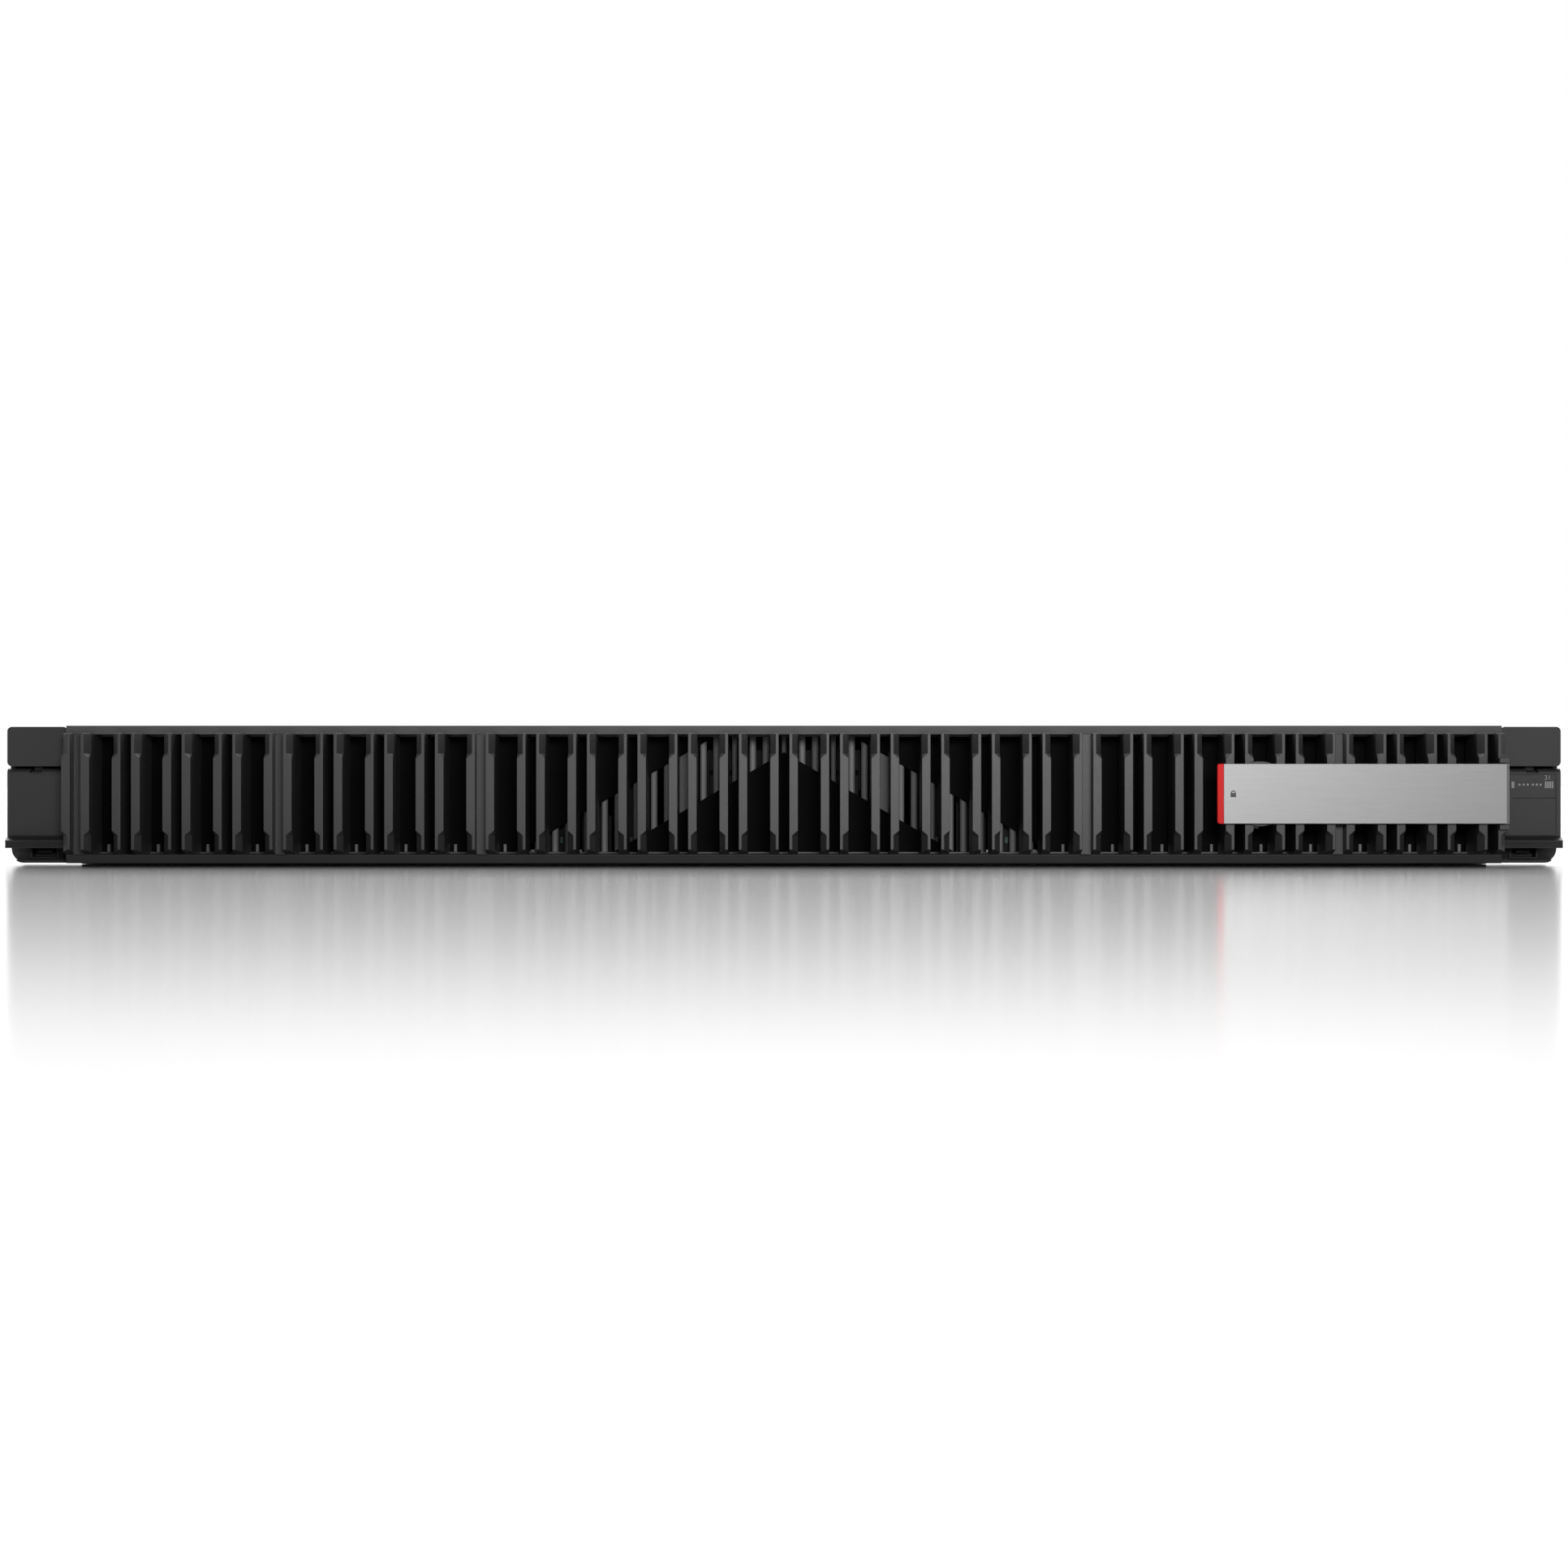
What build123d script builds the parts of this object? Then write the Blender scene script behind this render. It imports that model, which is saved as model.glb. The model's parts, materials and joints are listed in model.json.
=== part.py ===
from build123d import *
import math
import os

# A one-unit rack server behind its security bezel, all sizes in millimetres.
# X runs to the right as seen from the front, Y to the rear, Z up.
# The origin is on the underside of the chassis, in the middle of the rack mounting plane.

# Chassis
body_width = 447.0        # across the covers
body_height = 43.0        # underside to the top of the covers
rear_y = 740.0            # outer face of the rear wall
front_y = -3.0            # front edge of the tray
sheet = 1.2               # chassis sheet
cover_sheet = 1.0         # cover sheet
cover_play = 0.2          # between a cover flange and the side wall
cover_corner = 4.0        # the front cover's corners stop this far behind the mounting plane
flange_depth = 9.0        # down-turned edge of a cover
cover_joint_gap = 1.0     # between the fixed front cover and the removable one
cover_joint_lead = 35.0   # from that joint back to the fans
moving_gap = 0.4          # free space round a piece that moves
seat_gap = 0.1            # play of a piece that lies in a pocket
pin_play = 0.05           # radial running fit of a pin in its bore

half_body = body_width / 2
wall_x = half_body - cover_sheet - cover_play
inner_x = wall_x - sheet
wall_top = body_height - cover_sheet

# Ears
bezel_inset = 1.3         # from a side of the covers in to the end of the bezel
ear_side_gap = 0.4        # between bezel and ear
ear_width = 18.7          # brings the ears to 482.6 across, the 19-inch rack width
ear_front = -22.0
ear_flange = 3.0          # thickness of the plate that meets the rack post
ear_bottom = 0.7
ear_rise = 0.05           # top of the ears above the covers
ear_block_height = 12.25  # fixed upper block
ear_groove = 0.65         # black groove between upper block and cover
ear_wall = 1.6
ear_corner = 1.4
ear_foot_corner = 4.0     # rounding of the lower outer corner
ear_arm_length = 60.0
ear_arm_bottom = 4.0
ear_arm_gap = 1.0         # between the arm and the cover's flange
ear_arm_corner = 3.0
rack_hole_inset = 8.75    # hole rows 465.1 apart, as the rack has them
rack_hole_drop = 9.0      # hole below the upper block: the middle hole of the unit
screw_radius = 2.5
screw_neck_radius = 2.7   # thicker stretch inside the ear plate
screw_neck_end = 0.5
screw_hole_play = 0.3
screw_head_radius = 5.4
screw_head_front = -14.6
screw_reach = 12.0        # tip of the screw behind the mounting plane
screw_tip = 1.0
screw_slot_width = 1.2
screw_slot_length = 7.0
screw_slot_depth = 1.4
ear_cover_thick = 3.6
ear_cover_gap = 1.0       # between the closed cover and the walls behind it
ear_cover_play = 0.3      # between cover and bezel
ear_hinge_radius = 1.6
ear_lip_depth = 3.0       # how far the ribbed lip stands forward
ear_lip_bottom = 5.45
ear_lip_height = 2.35
ear_lip_slope = 1.25      # height of the slope above the lip
lip_groove = 0.3          # width of a grip line
lip_groove_depth = 0.25
label_inset = 0.25        # depth of the field on the cover
label_left = 1.0
label_right = 1.45
lug_radius = 1.0
lug_width = 3.0
lug_skin = 0.15           # between knuckle and cover skin
lug_play = 0.3
hinge_pin_radius = 0.5
hinge_pin_reach = 1.5     # pin end beyond the knuckle
port_inset = 10.3         # middle of a port from the ear's outer side
port_width = 8.8
port_height = 4.4
port_bottom = 2.0
port_wall = 0.5
port_back = -10.0
port_recess = 1.0         # shell behind the face of the ear's lower block
port_tongue_width = 4.4
port_tongue_thick = 0.8

bezel_half = half_body - bezel_inset
ear_inner = bezel_half + ear_side_gap
half_span = ear_inner + ear_width
ear_top = body_height + ear_rise
ear_split = ear_top - ear_block_height
rack_hole_x = half_span - rack_hole_inset
rack_hole_z = ear_split - rack_hole_drop

# Bezel
unit_count = 29           # pairs of upright bars
bar_width = 2.65
slot_width = 3.27         # between the two bars of a pair
bar_edge_gap = 0.075      # between the last bar and the end of the bezel
bar_front = -33.1
bar_back = -14.0
rail_front = -26.0
rail_back = -12.0
rail_lean = 0.6           # how far a rail's outer edge leans back
rail_bottom = 0.75
rail_rise = 0.35          # top of the bezel above the covers
low_rail_height = 2.73
high_rail_height = 2.66
low_end_rise = 1.6        # slant of a bar's lower end between its front and the rail
high_end_rise = 0.3       # how far the upper end of a bar laps over the rail
corner_zone = 6.0         # length of the cut corner at each bar end
corner_run = 1.5          # length of the slanted facet that ends the cut corner
corner_left = 0.9         # width of bar front left beside the cut corner
corner_depth = 3.0
strip_height = 0.6        # strips behind the bars that tie them together
strip_depth = 2.0
closed_slots = (1, 5, 9, 21, 26)
web_front = -27.0         # web that closes such a slot
web_thick = 1.5
cheek_width = 2.6
panel_front = -9.0
panel_thick = 1.0
panel_rim_height = 1.1    # forward rim along the panel's upper edge
panel_rim_depth = 1.6
slat_depth = 2.0
slat_lap = 1.7            # how far a slat reaches past the window, behind the panel
gap_slat_width = 2.0
gap_slat_offset = 2.04    # from the middle of the gap between two pairs
slot_slat_width = 1.5
wide_slat_units = (13, 17)
wide_slat_width = 4.2
chevron_drop = 5.39       # peak of the window's lower edge below the upper rail
chevron_thick = 17.7      # height of the window, measured upright
chevron_slope = 0.584
stub_width = 0.9
stub_height = 2.9
slat_edge = 0.5           # cut edges of a slat

# Bezel handle and lock
handle_inset = 0.7        # hinge axis from the end of the bezel
handle_length = 86.7      # from the hinge axis to the red end
handle_height = 18.4
handle_lift = 0.215       # middle of the handle above the middle of the opening
handle_thick = 2.0
handle_gap = 0.5          # between handle and bar fronts
handle_corner = 0.8
tip_width = 1.9
handle_lug_height = 1.5
handle_lug_gap = 0.3
handle_lug_depth = 1.6
handle_pin_radius = 0.5
handle_pin_length = 2.0
handle_pin_room = 0.3     # beyond the end of a pin
lock_inset = 11.4         # lock axis from the free end of the silver plate
lock_radius = 10.0
lock_front = -33.4
lock_wall = 3.0
lock_tail = 0.4           # how far the barrel stands out behind the ring
key_slot_width = 1.4
key_slot_height = 8.0
key_slot_depth = 5.0
lock_cam_length = 11.0
lock_cam_width = 5.0
lock_cam_thick = 1.5

# Drives
drive_count = 32
cage_side_room = 8.7      # beside the cage, for the control panel
drive_width = 9.5
drive_length = 118.0
drive_head_room = 4.65
drive_channel_depth = 1.2
drive_channel_height = 8.0
drive_latch_depth = 3.0
drive_latch_inset = 1.5
drive_latch_side = 1.0
latch_step_depth = 1.6
latch_step_height = 5.0
cage_sheet = 1.2
cage_depth = 122.0
cage_group = 4            # drives between two cage walls
guide_rib_height = 2.0
guide_rib_end = 4.0
guide_rib_play = 0.25
backplane_gap = 2.0
backplane_top_gap = 1.0
board_thick = 1.6
window_side = 6.0         # board left beside an air window
window_bottom = 8.0
window_height = 10.0
edge_socket_width = 6.0
edge_socket_bottom = 21.0
edge_socket_height = 12.0
edge_socket_gap = 0.5     # between a drive and its socket

# Fans
fan_count = 8
fan_side_room = 5.1       # from the side wall to the first fan place
fan_lead = 59.4           # from the backplane back to the fans
fan_length = 56.0
fan_play = 0.2            # above the fans
fan_ring = 1.0            # wall left round the bore
fan_tip_gap = 0.6
fan_hub_radius = 9.0
fan_blades = 5
fan_blade_chord = 16.0
fan_blade_thick = 1.2
fan_blade_angle = 38.0
fan_hub_start = 8.0       # front of the hub behind the fan's front
fan_rotor_length = 20.0
fan_strut = 3.0
fan_wall_sheet = 1.0
fan_post_sheet = 1.2
fan_post_gap = 0.5        # between a fan and the post beside it
fan_post_reach = 4.0      # how far a post runs past the fan, front and rear
fan_post_drop = 1.0

# Board and what stands on it
board_lead = 21.0         # from the fans back to the board
board_clear = 10.0        # between the board's short side and the power supplies
board_rear_gap = 6.0
board_lift = 5.0
board_side_gap = 2.0
board_step_gap = 4.0      # between the board and the supply bay
standoff_radius = 3.2     # hexagonal, across its corners
standoff_inset = 8.0
cpu_lead = 105.0          # from the board's front to the middle of the CPUs
socket_x = 76.0
socket_y = 60.0
socket_height = 3.5
socket_rim_x = 8.0
socket_rim_y = 7.0
socket_floor = 2.5
sink_x = 84.0
sink_y = 106.0
sink_base = 5.0
sink_air = 4.4            # between the fins and the duct
fin_count = 21
fin_thick = 0.8
memory_pitch = 7.6
memory_sink_gap = 4.1     # between a heat sink and the memory beside it
memory_duct_gap = 1.5
memory_length = 133.3
memory_air = 1.4          # between the modules and the duct
memory_thick = 1.4
memory_slot_width = 6.2
memory_slot_height = 6.5
memory_slot_length = 142.0
memory_tower_height = 20.0
memory_tower_gap = 0.2
memory_seat = 2.5
duct_start = 2.0          # behind the board's front edge
duct_length = 176.0
duct_wall = 1.2
duct_top_gap = 0.6
duct_side_gap = 2.0
baffle_gap = 1.6          # between a heat sink and the baffle beside it
baffle_drop = 16.0
chip_lead = 238.0         # from the board's front to the chipset's heat sink
chip_x = -60.0
chip_sink_size = 40.0
chip_base = 3.0
chip_height = 14.0
chip_fins = 8
chip_fin_thick = 1.0

# Cover lever
lever_lead = 30.0         # from the end of the duct back to the lever's hinge
lever_width = 26.0
lever_length = 62.0
lever_thick = 2.6
lever_pin_radius = 0.6
grip_radius = 8.0
grip_inset = 12.0
grip_depth = 1.2
pan_wall = 1.2
pan_depth = 5.0

# Control panel and its two buttons
panel_block_depth = 14.0
panel_block_bottom = 1.2
panel_block_drop = 4.0    # below the side wall's top
power_drop = 9.0          # below the block's top
ident_drop = 21.0
power_radius = 3.0
ident_radius = 2.2
button_play = 0.1
button_cap = 1.0          # how far a button stands out
button_stroke = 0.8
button_flange = 0.8       # wider foot that keeps a button in
button_foot_front = 1.5
button_foot_back = 3.0

# Power supplies
supply_width = 73.5
supply_top_gap = 0.8
supply_length = 185.0
supply_pitch = 76.0
supply_side_gap = 1.3     # between the outer supply and the side wall
supply_bay_gap = 0.5
supply_fan_edge = 2.5     # housing left above and below the fan's bore
supply_fan_depth = 28.0
supply_fan_x = 12.0       # from the middle of the supply
supply_hub_radius = 7.0
supply_hub_depth = 4.0
supply_rotor_length = 18.0
supply_rotor_gap = 0.8
supply_inlet_x = -21.5
supply_slots = 9
supply_slot_pitch = 7.0
supply_slot_width = 4.0
supply_slot_depth = 6.0
supply_slot_bottom = 16.0
supply_slot_drop = 5.0
supply_mouth_width = 52.0
supply_mouth_bottom = 4.0
supply_mouth_height = 8.0
supply_mouth_depth = 10.0
supply_tongue_width = 48.0
supply_tongue_bottom = 7.0
supply_tongue_reach = 8.0
plug_gap = 0.5            # between the board socket and the supply
plug_block_width = 54.0
plug_block_depth = 24.0
plug_block_height = 6.0
plug_play = 0.3
inlet_width = 27.0
inlet_height = 20.0
inlet_depth = 18.0
inlet_wall = 1.5
inlet_floor = 2.0
inlet_bevel = 5.0
blade_pin_width = 2.0
blade_pin_height = 4.0
blade_pin_spread = 7.0
blade_pin_drop = 2.0
blade_pin_recess = 4.0
pull_depth = 24.0
pull_rod = 3.0
pull_width = 5.0
pull_inset = 4.0
pull_corner = 6.0
pull_x = -6.5             # middle of the pull handle from the middle of the supply
latch_pin_radius = 1.0
latch_side_inset = 3.0
latch_stand = 3.0         # latch axis behind the supply's rear face
latch_barrel = 2.2
latch_plate = 2.4
latch_reach = 14.0
latch_tab = 4.0
latch_height = 16.0
latch_lift = 3.0
latch_ear_thick = 1.5
latch_ear_gap = 0.3
latch_ear_half = 2.0
bay_front_lead = 4.0
bay_foot = 2.0
bay_drop = 1.0
bay_rail_lead = 10.0

# Rear
adapter_row_z = 22.0      # underside of the adapter brackets, above the port row
bracket_width = 79.2
bracket_top_gap = 1.6
bracket_gap = 3.0         # from the riser to a bracket
bracket_lap = 3.0         # bracket over the edge of its opening, at each end
bracket_lap_z = 2.0
bracket_sheet = 0.9
riser_inset = 103.6       # from the left side wall to the riser
adapter_length = 163.8
adapter_lift = 1.2
adapter_side = 6.0        # card edge inside the end of its bracket
chip_can_width = 36.0
chip_can_lead = 40.0
chip_can_length = 44.0
chip_can_height = 5.8
cage_spread = 16.0        # transceiver cages either side of the card's middle
cage_width = 18.0
cage_height = 8.6
cage_length = 40.0
cage_wall = 1.0
cage_back_wall = 4.0
riser_rear_gap = 6.0
network_offset = -49.5    # middle of the network card from the riser
network_width = 76.0
network_lift = 2.6
network_length = 115.0
network_plug_width = 60.0
network_plug_length = 8.0
network_plate = 1.0
jack_pitch = 24.0
network_jack_width = 16.0
network_jack_height = 7.7
network_jack_length = 22.0
network_jack_depth = 16.0
network_jack_wall = 1.5
network_jack_out = 0.6
port_lift = 0.3           # free space round a rear port in the wall
port_out = 0.4
port_length = 18.0
port_edge = 0.9
port_floor = 3.0
usb_offsets = (13.5, 33.5)    # middles of the ports from the riser
jack_offset = 59.5
video_offset = 95.5
usb_width = 14.5
usb_height = 6.8
usb_tongue = 1.4
jack_width = 16.0
jack_height = 13.5
video_width = 31.0
video_height = 12.0
video_recess = 2.0
video_reach = 4.0
video_side = 5.5
video_taper = 1.5
vent_width = 4.0
vent_pitch = 8.0
vent_lead = 14.0          # from the right bracket to the first vent
vent_drop = 4.0

# Rail studs
stud_count = 3
stud_first = 100.0
stud_last_gap = 50.0      # from the last stud to the rear wall
stud_z = 21.0
stud_radius = 2.2
stud_head_radius = 3.6
stud_neck = 1.8
stud_head = 1.0

# Places that follow from the sizes above
cage_half = inner_x - cage_side_room
drive_pitch = 2 * (cage_half - cage_sheet) / drive_count
drive_z0 = sheet + cage_sheet
drive_height = wall_top - cage_sheet - drive_head_room - drive_z0
backplane_y = cage_depth + backplane_gap
fan_y = backplane_y + board_thick + fan_lead
fan_pitch = 2 * (inner_x - fan_side_room) / fan_count
fan_z0 = sheet + fan_wall_sheet
fan_size = wall_top - fan_z0 - fan_play
fan_middle_z = fan_z0 + fan_size / 2
fan_bore = fan_size / 2 - fan_ring
cover_split_y = fan_y - cover_joint_lead
tray_rear = rear_y - sheet
supply_z0 = sheet
supply_height = wall_top - supply_z0 - supply_top_gap
supply_middle_z = supply_z0 + supply_height / 2
supply_y0 = rear_y - supply_length
supply_right = inner_x - supply_side_gap
supply_left = supply_right - supply_pitch - supply_width
supply_fan_radius = supply_height / 2 - supply_fan_edge
board_z = sheet + board_lift
board_top = board_z + board_thick
board_front = fan_y + fan_length + board_lead
board_split = supply_y0 - board_clear
board_rear = tray_rear - board_rear_gap
board_right = inner_x - board_side_gap
board_left = -board_right
board_step_x = supply_left - board_step_gap
duct_top = wall_top - duct_top_gap
duct_half = board_right - duct_side_gap
duct_inside = duct_half - duct_wall
duct_end = board_front + duct_start + duct_length
cpu_x = duct_inside / 2
cpu_y = board_front + cpu_lead
sink_top = duct_top - duct_wall - sink_air
module_z0 = board_top + memory_slot_height - memory_seat
module_top = duct_top - duct_wall - memory_air
bank_room = duct_inside / 2 - sink_x / 2 - memory_sink_gap - memory_duct_gap
memory_group = int((bank_room - memory_slot_width) / memory_pitch) + 1
bank_width = (memory_group - 1) * memory_pitch + memory_slot_width
bank_offset = sink_x / 2 + memory_sink_gap + bank_width / 2
lever_y = duct_end + lever_lead
lever_z = body_height - lever_thick / 2
opening_bottom = rail_bottom + low_rail_height
rail_top = body_height + rail_rise
opening_top = rail_top - high_rail_height
riser_x = -inner_x + riser_inset
bracket_height = wall_top - bracket_top_gap - adapter_row_z
adapter_board_z = adapter_row_z + adapter_lift
adapter_front = tray_rear - adapter_length
network_x = riser_x + network_offset
network_z = board_top + network_lift


# A box given by its limits along each axis.
def span_box(x0, x1, y0, y1, z0, z1):
    middle = Pos((x0 + x1) / 2, (y0 + y1) / 2, (z0 + z1) / 2)
    return middle * Box(x1 - x0, y1 - y0, z1 - z0)


# An outline of (y, z) points, pushed along X.
def prism_x(points, x0, x1):
    outline = make_face(Polyline(*points, close=True))
    return extrude(Plane.YZ.offset(x0) * outline, x1 - x0)


# An outline of (x, z) points, pushed along Y.
def prism_y(points, y0, y1):
    outline = make_face(Polyline(*points, close=True))
    return extrude(Plane.XZ.offset(-y0) * outline, -(y1 - y0))


# An outline of (x, y) points, pushed along Z.
def prism_z(points, z0, z1):
    outline = make_face(Polyline(*points, close=True))
    return extrude(Plane.XY.offset(z0) * outline, z1 - z0)


# Round bars along each axis.
def rod_x(radius, x0, x1, y, z):
    return Pos((x0 + x1) / 2, y, z) * Rot(0, 90, 0) * Cylinder(radius, x1 - x0)


def rod_y(radius, y0, y1, x, z):
    return Pos(x, (y0 + y1) / 2, z) * Rot(90, 0, 0) * Cylinder(radius, y1 - y0)


def rod_z(radius, z0, z1, x, y):
    return Pos(x, y, (z0 + z1) / 2) * Cylinder(radius, z1 - z0)


# A round body about an axis along Y, from (radius, y) points.
def turned_y(points, x, z):
    outline = make_face(Polyline(*points, close=True))
    return Pos(x, 0, z) * revolve(outline, Axis.Y)


def mirrored(shape):
    return mirror(shape, about=Plane.YZ)


def save(shape, node):
    export_step(shape, "parts/" + node + ".step")


# Chassis tray: floor and side walls of one bent sheet, with the board's standoffs.
def chassis_tray():
    section = [
        (-wall_x, 0), (wall_x, 0), (wall_x, wall_top), (inner_x, wall_top), (inner_x, sheet),
        (-inner_x, sheet), (-inner_x, wall_top), (-wall_x, wall_top),
    ]
    tray = prism_y(section, front_y, tray_rear)
    places = []
    for x in (board_left + standoff_inset, 0, board_right - standoff_inset):
        for y in (board_front + standoff_inset, board_split - standoff_inset):
            places.append((x, y))
    for x in (board_left + standoff_inset, board_step_x - standoff_inset):
        places.append((x, board_rear - standoff_inset))
    for x, y in places:
        tray += extrude(Plane.XY.offset(sheet) * Pos(x, y) * RegularPolygon(standoff_radius, 6), board_lift)
    return tray


# A cover: a flat sheet with a down-turned flange along each side.
def cover_section(y0, y1):
    flange_bottom = body_height - flange_depth
    inside = half_body - cover_sheet
    section = [
        (-half_body, flange_bottom), (-half_body, body_height), (half_body, body_height),
        (half_body, flange_bottom), (inside, flange_bottom), (inside, wall_top),
        (-inside, wall_top), (-inside, flange_bottom),
    ]
    return prism_y(section, y0, y1)


def front_top_cover():
    cover = cover_section(front_y, cover_split_y)
    # Its corners are cut back, so that the ears lie flat on the rack posts.
    cut_x = wall_x - seat_gap
    corner = span_box(cut_x, half_body + 1, front_y - 1, cover_corner, 0, body_height + 1)
    return cover - corner - mirrored(corner)


def top_cover():
    cover = cover_section(cover_split_y + cover_joint_gap, rear_y)
    half = lever_width / 2 + moving_gap
    y0 = lever_y - lever_thick / 2 - moving_gap
    y1 = lever_y + lever_length + moving_gap
    cover -= span_box(-half, half, y0, y1, wall_top - 1, body_height + 1)
    # A pan under the lever, with the lever's pin across it.
    pan_bottom = wall_top - pan_depth
    pan = span_box(-half - pan_wall, half + pan_wall, y0 - pan_wall, y1 + pan_wall, pan_bottom, wall_top)
    pan -= span_box(-half, half, y0, y1, pan_bottom + pan_wall, wall_top)
    cover += pan
    return cover + rod_x(lever_pin_radius, -half, half, lever_y, lever_z)


def cover_lever():
    half = lever_width / 2
    back = lever_y + lever_length
    lever = span_box(-half, half, lever_y, back, lever_z - lever_thick / 2, body_height)
    lever += rod_x(lever_thick / 2, -half, half, lever_y, lever_z)
    grip_y = back - grip_inset
    lever -= rod_z(grip_radius, body_height - grip_depth, body_height + 1, 0, grip_y)
    return lever - rod_x(lever_pin_radius + pin_play, -half, half, lever_y, lever_z)


# Ears: built for the right side, mirrored for the left.
cover_top = ear_split - ear_groove
cover_back = ear_front + ear_cover_thick
hinge_y = ear_front + ear_hinge_radius
hinge_z = cover_top - ear_hinge_radius
ear_wall_front = cover_back + ear_cover_gap
cover_x = ear_inner + ear_cover_play
slope_top = ear_lip_bottom + ear_lip_height + ear_lip_slope
port_x = half_span - port_inset
port_x0 = port_x - port_width / 2
port_x1 = port_x + port_width / 2
lug_x0 = rack_hole_x - lug_width / 2
lug_x1 = rack_hole_x + lug_width / 2
lug_back = 2.6            # knuckle arm behind the front of the walls
block_step = 0.9          # upright lower edge of the ear's lower block
block_slope = 2.4         # how far the lower block's face leans back
block_rise = 2.0          # top of the lower block above the lip's underside
hollow_side = 2.4
hollow_depth = 1.2
hollow_drop = 7.4         # below the screw's axis
hollow_rise = 4.2         # above it


def ear_plate(bottom, top, y0, y1):
    width = half_span - ear_inner
    height = top - bottom
    face = Plane.XZ.offset(-y0) * Pos(ear_inner + width / 2, bottom + height / 2)
    return extrude(face * RectangleRounded(width, height, ear_corner), -(y1 - y0))


# The lower block, whose face leans back towards its bottom edge.
def ear_foot():
    edge_z = ear_bottom + block_step
    top = ear_lip_bottom + block_rise
    side = [
        (0, ear_bottom), (ear_wall_front, ear_bottom), (ear_wall_front, edge_z),
        (ear_wall_front + block_slope, edge_z), (ear_wall_front, top), (0, top),
    ]
    foot = prism_x(side, ear_inner, half_span)
    corner = foot.edges().filter_by(Axis.Y).sort_by_distance((half_span, ear_wall_front / 2, ear_bottom))[0]
    foot = fillet(corner, ear_foot_corner)
    return foot - span_box(port_x0, port_x1, ear_front, port_back, port_bottom, port_bottom + port_height)


# Knuckle of the cover's hinge, with its two pins.
def ear_knuckle():
    back = ear_wall_front + lug_back
    knuckle = span_box(lug_x0, lug_x1, hinge_y, back, hinge_z - lug_radius, hinge_z + lug_radius)
    knuckle += rod_x(lug_radius, lug_x0, lug_x1, hinge_y, hinge_z)
    top = ear_split + lug_radius / 2
    knuckle += span_box(lug_x0, lug_x1, ear_wall_front, back, hinge_z - lug_radius, top)
    pin_x0 = lug_x0 - hinge_pin_reach
    return knuckle + rod_x(hinge_pin_radius, pin_x0, lug_x1 + hinge_pin_reach, hinge_y, hinge_z)


# Side arm that is riveted to the chassis wall.
def ear_arm():
    top = body_height - flange_depth - ear_arm_gap
    length = ear_arm_length + ear_flange
    middle = Pos((ear_arm_length - ear_flange) / 2, (ear_arm_bottom + top) / 2)
    plan = RectangleRounded(length, top - ear_arm_bottom, ear_arm_corner)
    return extrude(Plane.YZ.offset(wall_x) * middle * plan, sheet)


def ear_body():
    body = ear_plate(ear_bottom, ear_top, -ear_flange, 0)
    body += ear_plate(ear_split, ear_top, ear_front, 0)
    wall_foot = ear_bottom + ear_corner
    wall_head = ear_split + ear_corner
    body += span_box(ear_inner, ear_inner + ear_wall, ear_wall_front, 0, wall_foot, wall_head)
    body += span_box(half_span - ear_wall, half_span, ear_wall_front, 0, slope_top, wall_head)
    body += ear_foot()
    body += ear_knuckle()
    body += ear_arm()
    return body - rod_y(screw_neck_radius + screw_hole_play, -ear_flange - 1, 1, rack_hole_x, rack_hole_z)


# Flip-up cover: its side profile carries the lip, and the bend round the hinge.
def ear_cover():
    lip_front = ear_front - ear_lip_depth
    lip_top = ear_lip_bottom + ear_lip_height
    profile = Polyline((hinge_y, cover_top), (cover_back, cover_top), (cover_back, ear_lip_bottom),
                       (lip_front, ear_lip_bottom), (lip_front, lip_top), (ear_front, slope_top),
                       (ear_front, hinge_z))
    bend = CenterArc((hinge_y, hinge_z), ear_hinge_radius, 90, 90)
    outline = make_face([*profile.edges(), *bend.edges()])
    cover = extrude(Plane.YZ.offset(cover_x) * outline, half_span - cover_x)
    # Field for the label, and the grip lines of the lip.
    cover -= span_box(ear_inner + label_left, half_span - label_right, ear_front - 1, ear_front + label_inset,
                      slope_top + label_inset, hinge_z - label_inset)
    for step in (1, 2, 3):
        line_z = ear_lip_bottom + step * ear_lip_height / 4
        cover -= span_box(cover_x, half_span, lip_front - 1, lip_front + lip_groove_depth,
                          line_z - lip_groove / 2, line_z + lip_groove / 2)
    # Room for the hinge knuckle and its pins.
    notch_x0 = lug_x0 - lug_play
    notch_x1 = lug_x1 + lug_play
    skin = hinge_y - lug_radius - lug_skin
    notch_low = hinge_z - lug_radius - 3 * lug_play
    cover -= span_box(notch_x0, notch_x1, skin, cover_back + 1, notch_low, cover_top + 1)
    cover -= span_box(notch_x0, notch_x1, ear_front - 1, skin + 1, hinge_z + lug_play, cover_top + 1)
    pin_room = hinge_pin_reach + lug_play
    cover -= rod_x(hinge_pin_radius + pin_play, lug_x0 - pin_room, lug_x1 + pin_room, hinge_y, hinge_z)
    # Hollow behind the cover for the screw head.
    cover -= span_box(ear_inner + hollow_side, half_span - hollow_side, cover_back - hollow_depth,
                      cover_back + 1, rack_hole_z - hollow_drop, rack_hole_z + hollow_rise)
    return cover


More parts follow.
